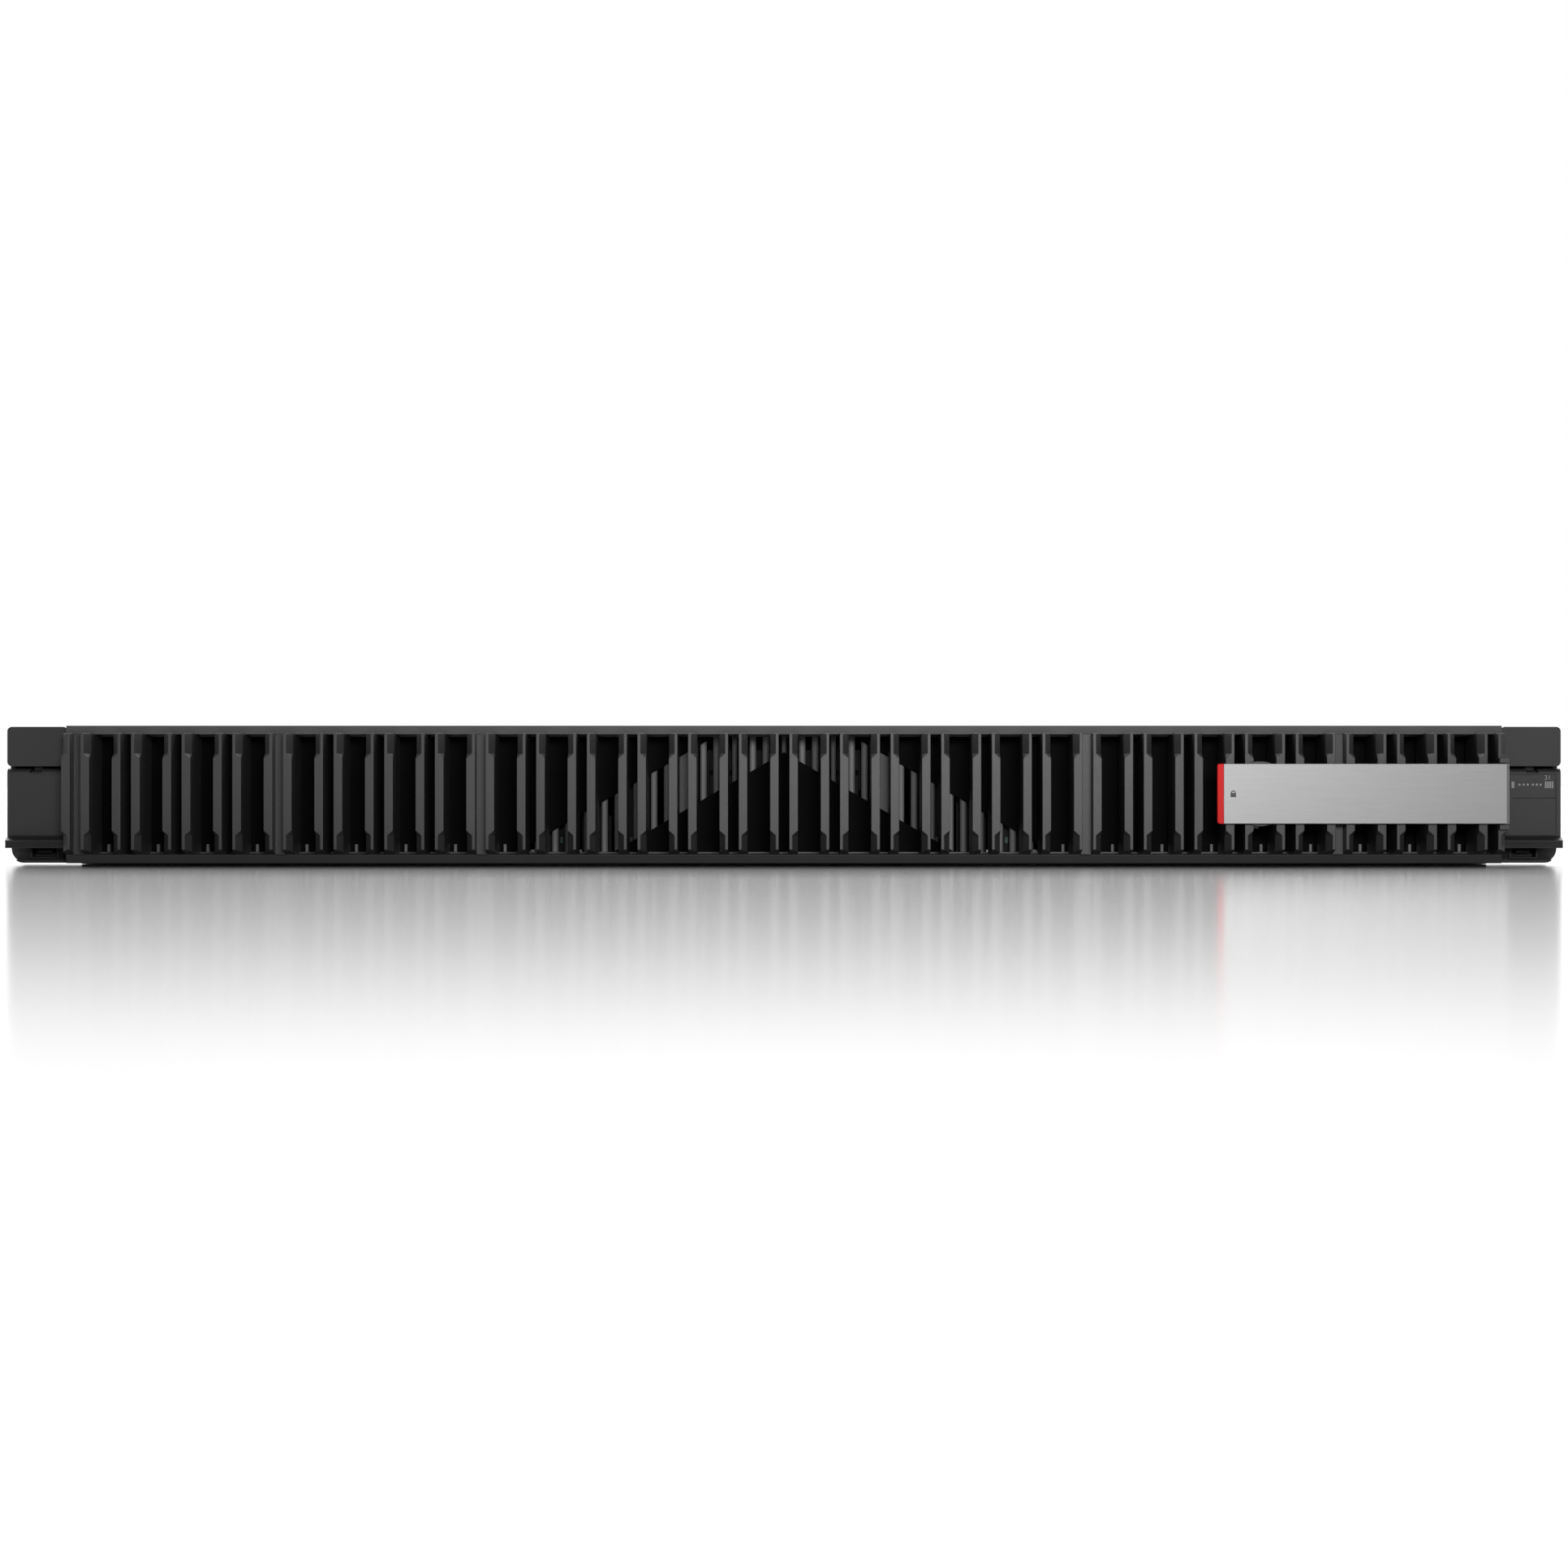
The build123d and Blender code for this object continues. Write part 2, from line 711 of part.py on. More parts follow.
def captive_screw():
    outline = [
        (0, screw_head_front), (screw_head_radius, screw_head_front), (screw_head_radius, -ear_flange),
        (screw_neck_radius, -ear_flange), (screw_neck_radius, screw_neck_end),
        (screw_radius, screw_neck_end), (screw_radius, screw_reach - screw_tip),
        (screw_radius - screw_tip, screw_reach), (0, screw_reach),
    ]
    screw = turned_y(outline, rack_hole_x, rack_hole_z)
    slot = span_box(rack_hole_x - screw_slot_length / 2, rack_hole_x + screw_slot_length / 2,
                    screw_head_front - 1, screw_head_front + screw_slot_depth,
                    rack_hole_z - screw_slot_width / 2, rack_hole_z + screw_slot_width / 2)
    return screw - slot


def port_shell():
    front = ear_wall_front + port_recess
    top = port_bottom + port_height
    shell = span_box(port_x0, port_x1, front, port_back, port_bottom, top)
    room = span_box(port_x0 + port_wall, port_x1 - port_wall, ear_front, port_back - 2 * port_wall,
                    port_bottom + port_wall, top - port_wall)
    tongue_z = port_bottom + port_height / 2
    tongue = span_box(port_x - port_tongue_width / 2, port_x + port_tongue_width / 2, front + 2 * port_wall,
                      port_back - port_wall, tongue_z - port_tongue_thick / 2, tongue_z + port_tongue_thick / 2)
    return shell - room + tongue


# Bezel
unit_half = bar_width + slot_width / 2
unit_pitch = 2 * (bezel_half - bar_edge_gap - unit_half) / (unit_count - 1)
opening_middle = (opening_bottom + opening_top) / 2
chevron_base = opening_top - chevron_drop
panel_back = panel_front + panel_thick
handle_axis_x = bezel_half - handle_inset
handle_left = handle_axis_x - handle_length
handle_middle_z = opening_middle + handle_lift
handle_bottom = handle_middle_z - handle_height / 2
handle_top = handle_middle_z + handle_height / 2
handle_back = bar_front - handle_gap
handle_front = handle_back - handle_thick
handle_axis_y = (handle_front + handle_back) / 2
lock_x = handle_left + lock_inset
lock_z = handle_middle_z


def unit_x(number):
    return (number - (unit_count + 1) / 2) * unit_pitch


# Two rails whose faces lean back, and a cheek at each end.
def bezel_frame():
    high = [
        (rail_front, opening_top), (rail_front + rail_lean, rail_top), (rail_back, rail_top),
        (rail_back, opening_top),
    ]
    low = [
        (rail_front, opening_bottom), (rail_front + rail_lean, rail_bottom), (rail_back, rail_bottom),
        (rail_back, opening_bottom),
    ]
    frame = prism_x(high, -bezel_half, bezel_half) + prism_x(low, -bezel_half, bezel_half)
    cheek = span_box(bezel_half - cheek_width, bezel_half, bar_back, front_y, rail_bottom, rail_top)
    return frame + cheek + mirrored(cheek)


# One upright bar whose outer front corner, on the -X side, is cut away at both ends.
def bar_shape():
    side = [
        (bar_front, opening_bottom + low_end_rise), (rail_front, opening_bottom), (bar_back, opening_bottom),
        (bar_back, opening_top), (rail_front, opening_top), (rail_front, opening_top + high_end_rise),
        (bar_front, opening_top + high_end_rise / 2),
    ]
    bar = prism_x(side, 0, bar_width)
    cut_width = bar_width - corner_left
    corner = [(0, bar_front), (cut_width, bar_front), (0, bar_front + corner_depth)]
    low_end = opening_bottom + corner_zone
    peak = Vertex(0, bar_front, low_end + corner_run)
    base = Plane.XY.offset(low_end) * make_face(Polyline(*corner, close=True))
    low_cut = prism_z(corner, opening_bottom - 1, low_end) + loft([base, peak])
    high_cut = mirror(low_cut, about=Plane.XY.offset(opening_middle))
    return bar - low_cut - high_cut


# The comb of bars, tied by two strips behind them, with webs in the slots that are closed.
def bezel_bars():
    left_bar = bar_shape()
    right_bar = mirrored(left_bar)
    bars = []
    for number in range(1, unit_count + 1):
        x = unit_x(number)
        bars.append(Pos(x - unit_half, 0, 0) * left_bar)
        bars.append(Pos(x + unit_half, 0, 0) * right_bar)
    half = unit_x(unit_count) + unit_half
    for z in (opening_bottom, opening_top - strip_height):
        bars.append(span_box(-half, half, bar_back - strip_depth, bar_back, z, z + strip_height))
    for number in closed_slots:
        x = unit_x(number)
        bars.append(span_box(x - slot_width / 2, x + slot_width / 2, web_front, web_front + web_thick,
                             opening_bottom, opening_top))
    comb = bars[0].fuse(*bars[1:])
    comb -= rod_y(lock_radius, lock_front - 1, bar_back, lock_x, lock_z)
    ring = rod_y(lock_radius, lock_front, bar_back, lock_x, lock_z)
    ring -= rod_y(lock_radius - lock_wall, lock_front - 1, bar_back + 1, lock_x, lock_z)
    return comb + ring + handle_lugs(half - bar_width)


# Lugs on the last bar, with the two pins of the handle.
def handle_lugs(lug_left):
    lugs = []
    for inner_z, way in ((handle_top + handle_lug_gap, 1), (handle_bottom - handle_lug_gap, -1)):
        outer_z = inner_z + way * handle_lug_height
        pin_z = inner_z - way * (handle_lug_gap + handle_pin_length)
        lugs.append(span_box(lug_left, handle_axis_x + handle_thick / 2, handle_axis_y - handle_lug_depth / 2,
                             bar_front + handle_gap, min(inner_z, outer_z), max(inner_z, outer_z)))
        lugs.append(rod_z(handle_pin_radius, min(pin_z, outer_z), max(pin_z, outer_z),
                          handle_axis_x, handle_axis_y))
    return lugs


def bezel_handle():
    plate = span_box(handle_left, handle_axis_x, handle_front, handle_back, handle_bottom, handle_top)
    plate += rod_z(handle_thick / 2, handle_bottom, handle_top, handle_axis_x, handle_axis_y)
    bore = handle_pin_radius + pin_play
    depth = handle_pin_length + handle_pin_room
    plate -= rod_z(bore, handle_top - depth, handle_top + 1, handle_axis_x, handle_axis_y)
    return plate - rod_z(bore, handle_bottom - 1, handle_bottom + depth, handle_axis_x, handle_axis_y)


def handle_tip():
    tip = span_box(handle_left - tip_width, handle_left, handle_front, handle_back, handle_bottom, handle_top)
    return fillet(tip.edges().filter_by(Axis.Y).group_by(Axis.X)[0], handle_corner)


def lock_barrel():
    radius = lock_radius - lock_wall - pin_play
    cam_y = bar_back + lock_tail
    barrel = rod_y(radius, lock_front, cam_y, lock_x, lock_z)
    barrel -= span_box(lock_x - key_slot_width / 2, lock_x + key_slot_width / 2, lock_front - 1,
                       lock_front + key_slot_depth, lock_z - key_slot_height / 2, lock_z + key_slot_height / 2)
    cam = span_box(lock_x - lock_cam_width / 2, lock_x + lock_cam_width / 2, cam_y, cam_y + lock_cam_thick,
                   lock_z - lock_cam_length, lock_z + lock_cam_width / 2)
    return barrel + cam


# Height of the window's lower edge at a place along X.
def chevron_low(x):
    return chevron_base - chevron_slope * abs(x)


# A plain panel with one chevron-shaped window, open to the rail where its peak meets the rim.
def bezel_panel():
    half = bezel_half - cheek_width
    panel = span_box(-half, half, panel_front, panel_back, rail_bottom, rail_top)
    rim_z = opening_top - panel_rim_height
    panel += span_box(-half, half, panel_front - panel_rim_depth, panel_front, rim_z, rail_top - sheet)
    foot = (chevron_base - opening_bottom) / chevron_slope
    leg = (chevron_base + chevron_thick - opening_bottom) / chevron_slope
    shoulder = (chevron_base + chevron_thick - opening_top) / chevron_slope
    window = [
        (-leg, opening_bottom), (-shoulder, opening_top), (shoulder, opening_top), (leg, opening_bottom),
        (foot, opening_bottom), (0, chevron_base), (-foot, opening_bottom),
    ]
    return panel - prism_y(window, panel_front - panel_rim_depth - 1, panel_back + 1)


# A slat behind the panel: its ends follow the slanted edges of the window.
def slat(x, width):
    x0 = x - width / 2
    x1 = x + width / 2
    low = opening_bottom - slat_lap
    high = opening_top + slat_lap
    points = [
        (x0, max(low, chevron_low(x0) - slat_lap)), (x1, max(low, chevron_low(x1) - slat_lap)),
        (x1, min(high, chevron_low(x1) + chevron_thick + slat_lap)),
        (x0, min(high, chevron_low(x0) + chevron_thick + slat_lap)),
    ]
    shape = prism_y(points, panel_back, panel_back + slat_depth)
    for edge_x, way in ((x0, 1), (x1, -1)):
        cut = [(edge_x - way, panel_back - 1), (edge_x + way * slat_edge, panel_back - 1),
               (edge_x + way * slat_edge, panel_back), (edge_x, panel_back + slat_edge),
               (edge_x - way, panel_back + slat_edge)]
        shape -= prism_z(cut, low - 1, high + 1)
    return shape


# Slats across the window, and a short stub in each gap beside it.
def bezel_slats():
    slats = []
    leg = (chevron_base + chevron_thick - opening_bottom) / chevron_slope
    for number in range(1, unit_count + 1):
        x = unit_x(number)
        width = wide_slat_width if number in wide_slat_units else slot_slat_width
        if abs(x) < leg - width:
            slats.append(slat(x, width))
    for number in range(1, unit_count):
        gap_x = unit_x(number) + unit_pitch / 2
        outward = math.copysign(gap_slat_offset, gap_x)
        if abs(gap_x + outward) < leg - gap_slat_width:
            slats.append(slat(gap_x + gap_slat_offset, gap_slat_width))
            slats.append(slat(gap_x - gap_slat_offset, gap_slat_width))
        else:
            stub_x = gap_x + outward
            slats.append(span_box(stub_x - stub_width / 2, stub_x + stub_width / 2, panel_front - slat_depth,
                                  panel_front, opening_bottom, opening_bottom + stub_height))
    return Compound(children=slats)


# Drives: upright modules side by side in one cage.
def drive_x(index):
    return (index - (drive_count - 1) / 2) * drive_pitch


def drive_cage():
    cage = span_box(-cage_half, cage_half, 0, cage_depth, sheet, drive_z0)
    cage += span_box(-cage_half, cage_half, 0, cage_depth, wall_top - cage_sheet, wall_top)
    walls = []
    for group in range(0, drive_count + 1, cage_group):
        x = (group - drive_count / 2) * drive_pitch
        walls.append(span_box(x - cage_sheet / 2, x + cage_sheet / 2, 0, cage_depth, sheet, wall_top))
    # Guide ribs on the floor between the drives of one group.
    rib_half = (drive_pitch - drive_width) / 2 - guide_rib_play
    for index in range(1, drive_count):
        if index % cage_group:
            x = (index - drive_count / 2) * drive_pitch
            walls.append(span_box(x - rib_half, x + rib_half, guide_rib_end, cage_depth - guide_rib_end,
                                  drive_z0, drive_z0 + guide_rib_height))
    return cage.fuse(*walls)


def drive_modules():
    half = drive_width / 2
    body = span_box(-half, half, 0, drive_length, drive_z0, drive_z0 + drive_height)
    # Cooling channel along one face of the case.
    channel_z = drive_z0 + (drive_height - drive_channel_height) / 2
    body -= span_box(half - drive_channel_depth, half + 1, -1, drive_length + 1,
                     channel_z, channel_z + drive_channel_height)
    return Compound(children=[Pos(drive_x(index), 0, 0) * body for index in range(drive_count)])


def drive_latches():
    front = -drive_latch_depth
    low = drive_z0 + drive_latch_inset
    high = drive_z0 + drive_height - drive_latch_inset
    step_y = front + latch_step_depth
    side = [
        (front, low), (0, low), (0, high), (step_y, high), (step_y, high - latch_step_height),
        (front, high - latch_step_height - latch_step_depth),
    ]
    half = drive_width / 2 - drive_latch_side
    latch = prism_x(side, -half, half)
    return Compound(children=[Pos(drive_x(index), 0, 0) * latch for index in range(drive_count)])


def backplane():
    board = span_box(-cage_half, cage_half, backplane_y, backplane_y + board_thick, sheet,
                     wall_top - backplane_top_gap)
    window_pitch = cage_group * drive_pitch
    half = window_pitch / 2 - window_side
    for group in range(drive_count // cage_group):
        x = (group + 0.5) * window_pitch - drive_count * drive_pitch / 2
        board -= span_box(x - half, x + half, backplane_y - 1, backplane_y + board_thick + 1,
                          window_bottom, window_bottom + window_height)
    # Edge sockets that take the drives.
    sockets = []
    for index in range(drive_count):
        x = drive_x(index)
        sockets.append(span_box(x - edge_socket_width / 2, x + edge_socket_width / 2,
                                drive_length + edge_socket_gap, backplane_y,
                                edge_socket_bottom, edge_socket_bottom + edge_socket_height))
    return board.fuse(*sockets)


# Control panel beside the drives, behind the bezel.
panel_x = (cage_half + inner_x) / 2
panel_z1 = wall_top - panel_block_drop
power_z = panel_z1 - power_drop
ident_z = panel_z1 - ident_drop


def control_panel():
    block = span_box(cage_half, inner_x, 0, panel_block_depth, panel_block_bottom, panel_z1)
    for radius, z in ((power_radius, power_z), (ident_radius, ident_z)):
        room = button_foot_back + button_stroke + button_flange
        block -= rod_y(radius + button_play, -1, button_foot_back, panel_x, z)
        block -= rod_y(radius + button_flange + button_play, button_foot_front, room, panel_x, z)
    return block


def push_button(radius, z):
    button = rod_y(radius, -button_cap, button_foot_back, panel_x, z)
    return button + rod_y(radius + button_flange, button_foot_front, button_foot_back, panel_x, z)


# Fans
def fan_x(index):
    return (index - (fan_count - 1) / 2) * fan_pitch


# Floor plate and folded posts between the fans, cut off at the side walls.
def fan_cage():
    y0 = fan_y - fan_post_reach
    y1 = fan_y + fan_length + fan_post_reach
    top = wall_top - fan_post_drop
    side = inner_x - seat_gap
    half = (fan_pitch - fan_size) / 2 - fan_post_gap
    cage = span_box(-side, side, y0, y1, sheet, fan_z0)
    sheets = []
    for index in range(fan_count + 1):
        x = (index - fan_count / 2) * fan_pitch
        sheets.append(span_box(x - half, x - half + fan_post_sheet, y0, y1, sheet, top))
        sheets.append(span_box(x + half - fan_post_sheet, x + half, y0, y1, sheet, top))
        sheets.append(span_box(x - half, x + half, y0, y0 + fan_post_sheet, sheet, top))
    return cage.fuse(*sheets) & span_box(-side, side, y0 - 1, y1 + 1, 0, body_height)


def fan_frame(index):
    x = fan_x(index)
    rear = fan_y + fan_length
    half = fan_size / 2
    frame = span_box(x - half, x + half, fan_y, rear, fan_z0, fan_z0 + fan_size)
    frame -= rod_y(fan_bore, fan_y - 1, rear + 1, x, fan_middle_z)
    # Stator at the rear: a hub held by three struts.
    strut_y = rear - fan_strut
    stator = rod_y(fan_hub_radius, strut_y, rear, x, fan_middle_z)
    for turn in (0, 120, 240):
        strut = span_box(-fan_strut / 2, fan_strut / 2, strut_y, rear, 0, fan_bore + fan_ring / 2)
        stator += Pos(x, 0, fan_middle_z) * Rot(0, turn, 0) * strut
    return frame + stator


# Hub and blades of a fan, on the Y axis; the hub runs back to the stator that carries it.
def rotor_shape(tip_radius, hub_radius, y0, hub_length, blade_length):
    rotor = rod_y(hub_radius, y0, y0 + hub_length, 0, 0)
    middle_y = y0 + blade_length / 2
    root = hub_radius - fan_blade_thick
    reach = tip_radius + fan_blade_thick
    for blade in range(fan_blades):
        plate = Box(fan_blade_thick, fan_blade_chord, reach - root)
        plate = Pos(0, middle_y, (root + reach) / 2) * Rot(0, 0, fan_blade_angle) * plate
        rotor += Rot(0, blade * 360 / fan_blades, 0) * plate
    return rotor & rod_y(tip_radius, y0, y0 + hub_length, 0, 0)


def fan_rotor(index):
    hub_length = fan_length - fan_strut - fan_hub_start
    rotor = rotor_shape(fan_bore - fan_tip_gap, fan_hub_radius, fan_y + fan_hub_start, hub_length,
                        fan_rotor_length)
    return Pos(fan_x(index), 0, fan_middle_z) * rotor


# Main board and what stands on it
def main_board():
    plan = [
        (board_left, board_front), (board_right, board_front), (board_right, board_split),
        (board_step_x, board_split), (board_step_x, board_rear), (board_left, board_rear),
    ]
    return prism_z(plan, board_z, board_top)


def cpu_sockets():
    sockets = []
    top = board_top + socket_height
    for x in (-cpu_x, cpu_x):
        frame = span_box(x - socket_x / 2, x + socket_x / 2, cpu_y - socket_y / 2, cpu_y + socket_y / 2,
                         board_top, top)
        frame -= span_box(x - socket_x / 2 + socket_rim_x, x + socket_x / 2 - socket_rim_x,
                          cpu_y - socket_y / 2 + socket_rim_y, cpu_y + socket_y / 2 - socket_rim_y,
                          board_top + socket_floor, top + 1)
        sockets.append(frame)
    return Compound(children=sockets)


# A base with evenly spaced upright fins across its width.
def finned_sink(x, y, width, length, z0, base, z1, count, thick):
    sink = span_box(x - width / 2, x + width / 2, y - length / 2, y + length / 2, z0, z0 + base)
    step = (width - thick) / (count - 1)
    fins = []
    for index in range(count):
        fin_x = x - width / 2 + index * step
        fins.append(span_box(fin_x, fin_x + thick, y - length / 2, y + length / 2, z0 + base / 2, z1))
    return sink.fuse(*fins)


def heat_sinks():
    sinks = []
    for x in (-cpu_x, cpu_x):
        sinks.append(finned_sink(x, cpu_y, sink_x, sink_y, board_top + socket_height, sink_base, sink_top,
                                 fin_count, fin_thick))
    return Compound(children=sinks)


def chipset_sink():
    return finned_sink(chip_x, board_front + chip_lead, chip_sink_size, chip_sink_size, board_top, chip_base,
                       board_top + chip_height, chip_fins, chip_fin_thick)


# Places of the memory along X: one bank on either side of each heat sink.
def memory_places():
    places = []
    for middle in (-cpu_x, cpu_x):
        for side in (-1, 1):
            for index in range(memory_group):
                step = index - (memory_group - 1) / 2
                places.append(middle + side * bank_offset + step * memory_pitch)
    return places


def memory_modules():
    module = span_box(-memory_thick / 2, memory_thick / 2, cpu_y - memory_length / 2,
                      cpu_y + memory_length / 2, module_z0, module_top)
    return Compound(children=[Pos(x, 0, 0) * module for x in memory_places()])


# A slot with a latch tower at each end.
def memory_slots():
    y0 = cpu_y - memory_slot_length / 2
    y1 = cpu_y + memory_slot_length / 2
    tower = (memory_slot_length - memory_length) / 2 - memory_tower_gap
    low = board_top + memory_slot_height
    high = board_top + memory_tower_height
    side = [
        (y0, board_top), (y1, board_top), (y1, high), (y1 - tower, high), (y1 - tower, low),
        (y0 + tower, low), (y0 + tower, high), (y0, high),
    ]
    slot = prism_x(side, -memory_slot_width / 2, memory_slot_width / 2)
    slot -= span_box(-memory_thick / 2, memory_thick / 2, cpu_y - memory_length / 2,
                     cpu_y + memory_length / 2, module_z0, low + 1)
    return Compound(children=[Pos(x, 0, 0) * slot for x in memory_places()])


def air_duct():
    top = duct_top - duct_wall
    section = [
        (-duct_half, board_top), (-duct_half, duct_top), (duct_half, duct_top), (duct_half, board_top),
        (duct_inside, board_top), (duct_inside, top), (-duct_inside, top), (-duct_inside, board_top),
    ]
    duct = prism_y(section, board_front + duct_start, duct_end)
    # Two baffles on each side guide the air through the heat sinks.
    for x in (-cpu_x, cpu_x):
        for side in (-1, 1):
            near = x + side * (sink_x / 2 + baffle_gap)
            far = near + side * duct_wall
            duct += span_box(min(near, far), max(near, far), cpu_y - sink_y / 2, cpu_y + sink_y / 2,
                             duct_top - baffle_drop, duct_top - duct_wall / 2)
    return duct


# Power supplies: index 0 is the inner one.
def supply_x(index):
    return supply_right - supply_width / 2 - (1 - index) * supply_pitch


def supply_housing(index):
    x = supply_x(index)
    top = supply_z0 + supply_height
    box = span_box(x - supply_width / 2, x + supply_width / 2, supply_y0, rear_y, supply_z0, top)
    fan_front = rear_y - supply_fan_depth
    box -= rod_y(supply_fan_radius, fan_front, rear_y + 1, x + supply_fan_x, supply_middle_z)
    hub_back = fan_front + supply_hub_depth
    box += rod_y(supply_hub_radius, fan_front, hub_back, x + supply_fan_x, supply_middle_z)
    inlet_x = x + supply_inlet_x
    box -= span_box(inlet_x - inlet_width / 2, inlet_x + inlet_width / 2, rear_y - inlet_depth, rear_y + 1,
                    supply_middle_z - inlet_height / 2, supply_middle_z + inlet_height / 2)
    # Mouth in the inner end, with the edge tongue that plugs into the board's socket.
    box -= span_box(x - supply_mouth_width / 2, x + supply_mouth_width / 2, supply_y0 - 1,
                    supply_y0 + supply_mouth_depth, supply_z0 + supply_mouth_bottom,
                    supply_z0 + supply_mouth_bottom + supply_mouth_height)
    tongue_z = supply_z0 + supply_tongue_bottom
    box += span_box(x - supply_tongue_width / 2, x + supply_tongue_width / 2, supply_y0 - supply_tongue_reach,
                    supply_y0 + supply_mouth_depth, tongue_z, tongue_z + board_thick)
    # Air slots above the mouth.
    slots = []
    for step in range(supply_slots):
        slot_x = x + (step - (supply_slots - 1) / 2) * supply_slot_pitch
        slots.append(span_box(slot_x - supply_slot_width / 2, slot_x + supply_slot_width / 2, supply_y0 - 1,
                              supply_y0 + supply_slot_depth, supply_z0 + supply_slot_bottom,
                              top - supply_slot_drop))
    return box.cut(*slots) + latch_bracket(index)


def supply_rotor(index):
    y0 = rear_y - supply_fan_depth + supply_hub_depth
    rotor = rotor_shape(supply_fan_radius - supply_rotor_gap, supply_hub_radius, y0, supply_rotor_length,
                        supply_rotor_length)
    return Pos(supply_x(index) + supply_fan_x, 0, supply_middle_z) * rotor


# Mains inlet: a shell with two upper corners cut, and three blades.
def supply_inlet(index):
    x = supply_x(index) + supply_inlet_x
    half = inlet_width / 2
    tall = inlet_height / 2
    y0 = rear_y - inlet_depth
    shell = span_box(x - half, x + half, y0, rear_y, supply_middle_z - tall, supply_middle_z + tall)
    side = half - inlet_wall
    low = supply_middle_z - tall + inlet_wall
    high = supply_middle_z + tall - inlet_wall
    room = [
        (x - side, low), (x + side, low), (x + side, high - inlet_bevel), (x + side - inlet_bevel, high),
        (x - side + inlet_bevel, high), (x - side, high - inlet_bevel),
    ]
    shell -= prism_y(room, y0 + inlet_floor, rear_y + 1)
    for step in (-1, 0, 1):
        blade_x = x + step * blade_pin_spread
        blade_z = supply_middle_z + (blade_pin_drop if step == 0 else -blade_pin_drop)
        shell += span_box(blade_x - blade_pin_width / 2, blade_x + blade_pin_width / 2, y0 + inlet_floor / 2,
                          rear_y - blade_pin_recess, blade_z - blade_pin_height / 2,
                          blade_z + blade_pin_height / 2)
    return shell


# Pull handle: a flat bow with cut corners.
def supply_handle(index):
    x = supply_x(index) + pull_x
    low = supply_z0 + pull_inset
    high = supply_z0 + supply_height - pull_inset
    back = rear_y + pull_depth
    bow = [
        (rear_y, low), (back - pull_corner, low), (back, low + pull_corner), (back, high - pull_corner),
        (back - pull_corner, high), (rear_y, high),
    ]
    inner_back = back - pull_rod
    inner_low = low + pull_rod
    inner_high = high - pull_rod
    inner_corner = pull_corner - pull_rod / 2
    room = [
        (rear_y - 1, inner_low), (inner_back - inner_corner, inner_low),
        (inner_back, inner_low + inner_corner), (inner_back, inner_high - inner_corner),
        (inner_back - inner_corner, inner_high), (rear_y - 1, inner_high),
    ]
    handle = prism_x(bow, x - pull_width / 2, x + pull_width / 2)
    return handle - prism_x(room, x - pull_width, x + pull_width)


latch_y = rear_y + latch_stand
latch_z = supply_z0 + latch_lift


def latch_x(index):
    return supply_x(index) + supply_width / 2 - latch_side_inset


def supply_latch(index):
    x = latch_x(index)
    top = latch_z + latch_height
    end_y = latch_y + latch_reach
    half = latch_plate / 2
    latch = rod_z(latch_barrel, latch_z, top, x, latch_y)
    latch += span_box(x - half, x + half, latch_y, end_y, latch_z, top)
    latch += span_box(x - latch_tab, x + half, end_y - latch_plate, end_y, latch_z, top)
    return latch - rod_z(latch_pin_radius + pin_play, latch_z - 1, top + 1, x, latch_y)


# Two ears on the supply's rear face hold the latch pin.
def latch_bracket(index):
    x = latch_x(index)
    top = latch_z + latch_height
    reach = latch_ear_gap + latch_ear_thick
    bracket = [rod_z(latch_pin_radius, latch_z - reach, top + reach, x, latch_y)]
    for low in (latch_z - reach, top + latch_ear_gap):
        bracket.append(span_box(x - latch_ear_half, x + latch_ear_half, rear_y, latch_y + latch_ear_half,
                                low, low + latch_ear_thick))
    return bracket


def power_sockets():
    sockets = []
    tongue_z = supply_z0 + supply_tongue_bottom
    for index in (0, 1):
        x = supply_x(index)
        back = supply_y0 - plug_gap
        half = supply_tongue_width / 2 + plug_play
        block = span_box(x - plug_block_width / 2, x + plug_block_width / 2, back - plug_block_depth, back,
                         board_top, board_top + plug_block_height)
        block -= span_box(x - half, x + half, supply_y0 - supply_tongue_reach - plug_play, supply_y0,
                          tongue_z - plug_play, tongue_z + board_thick + plug_play)
        sockets.append(block)
    return Compound(children=sockets)


# Wall of the supply bay with its foot, and the rail between the two supplies.
def supply_bay():
    left = supply_left - supply_bay_gap - sheet
    top = wall_top - bay_drop
    front = supply_y0 - bay_front_lead
    wall = span_box(left, left + sheet, front, tray_rear, sheet, top)
    wall += span_box(left - bay_foot, left + sheet, front, tray_rear, sheet, 2 * sheet)
    middle = supply_x(0) + supply_pitch / 2
    half = (supply_pitch - supply_width) / 2 - supply_bay_gap
    rail = span_box(middle - half, middle + half, supply_y0 + bay_rail_lead, tray_rear, sheet, top)
    return Compound(children=[wall, rail])


# Rear wall, its ports and the adapter slots
def bracket_x(side):
    return riser_x + side * (bracket_gap + bracket_width / 2)


def card_middle(side):
    near = riser_x + side * board_thick / 2
    far = bracket_x(side) + side * (bracket_width / 2 - adapter_side)
    return (near + far) / 2


def port_sizes():
    sizes = [(riser_x + offset, usb_width, usb_height) for offset in usb_offsets]
    sizes.append((riser_x + jack_offset, jack_width, jack_height))
    sizes.append((riser_x + video_offset, video_width, video_height))
    return sizes


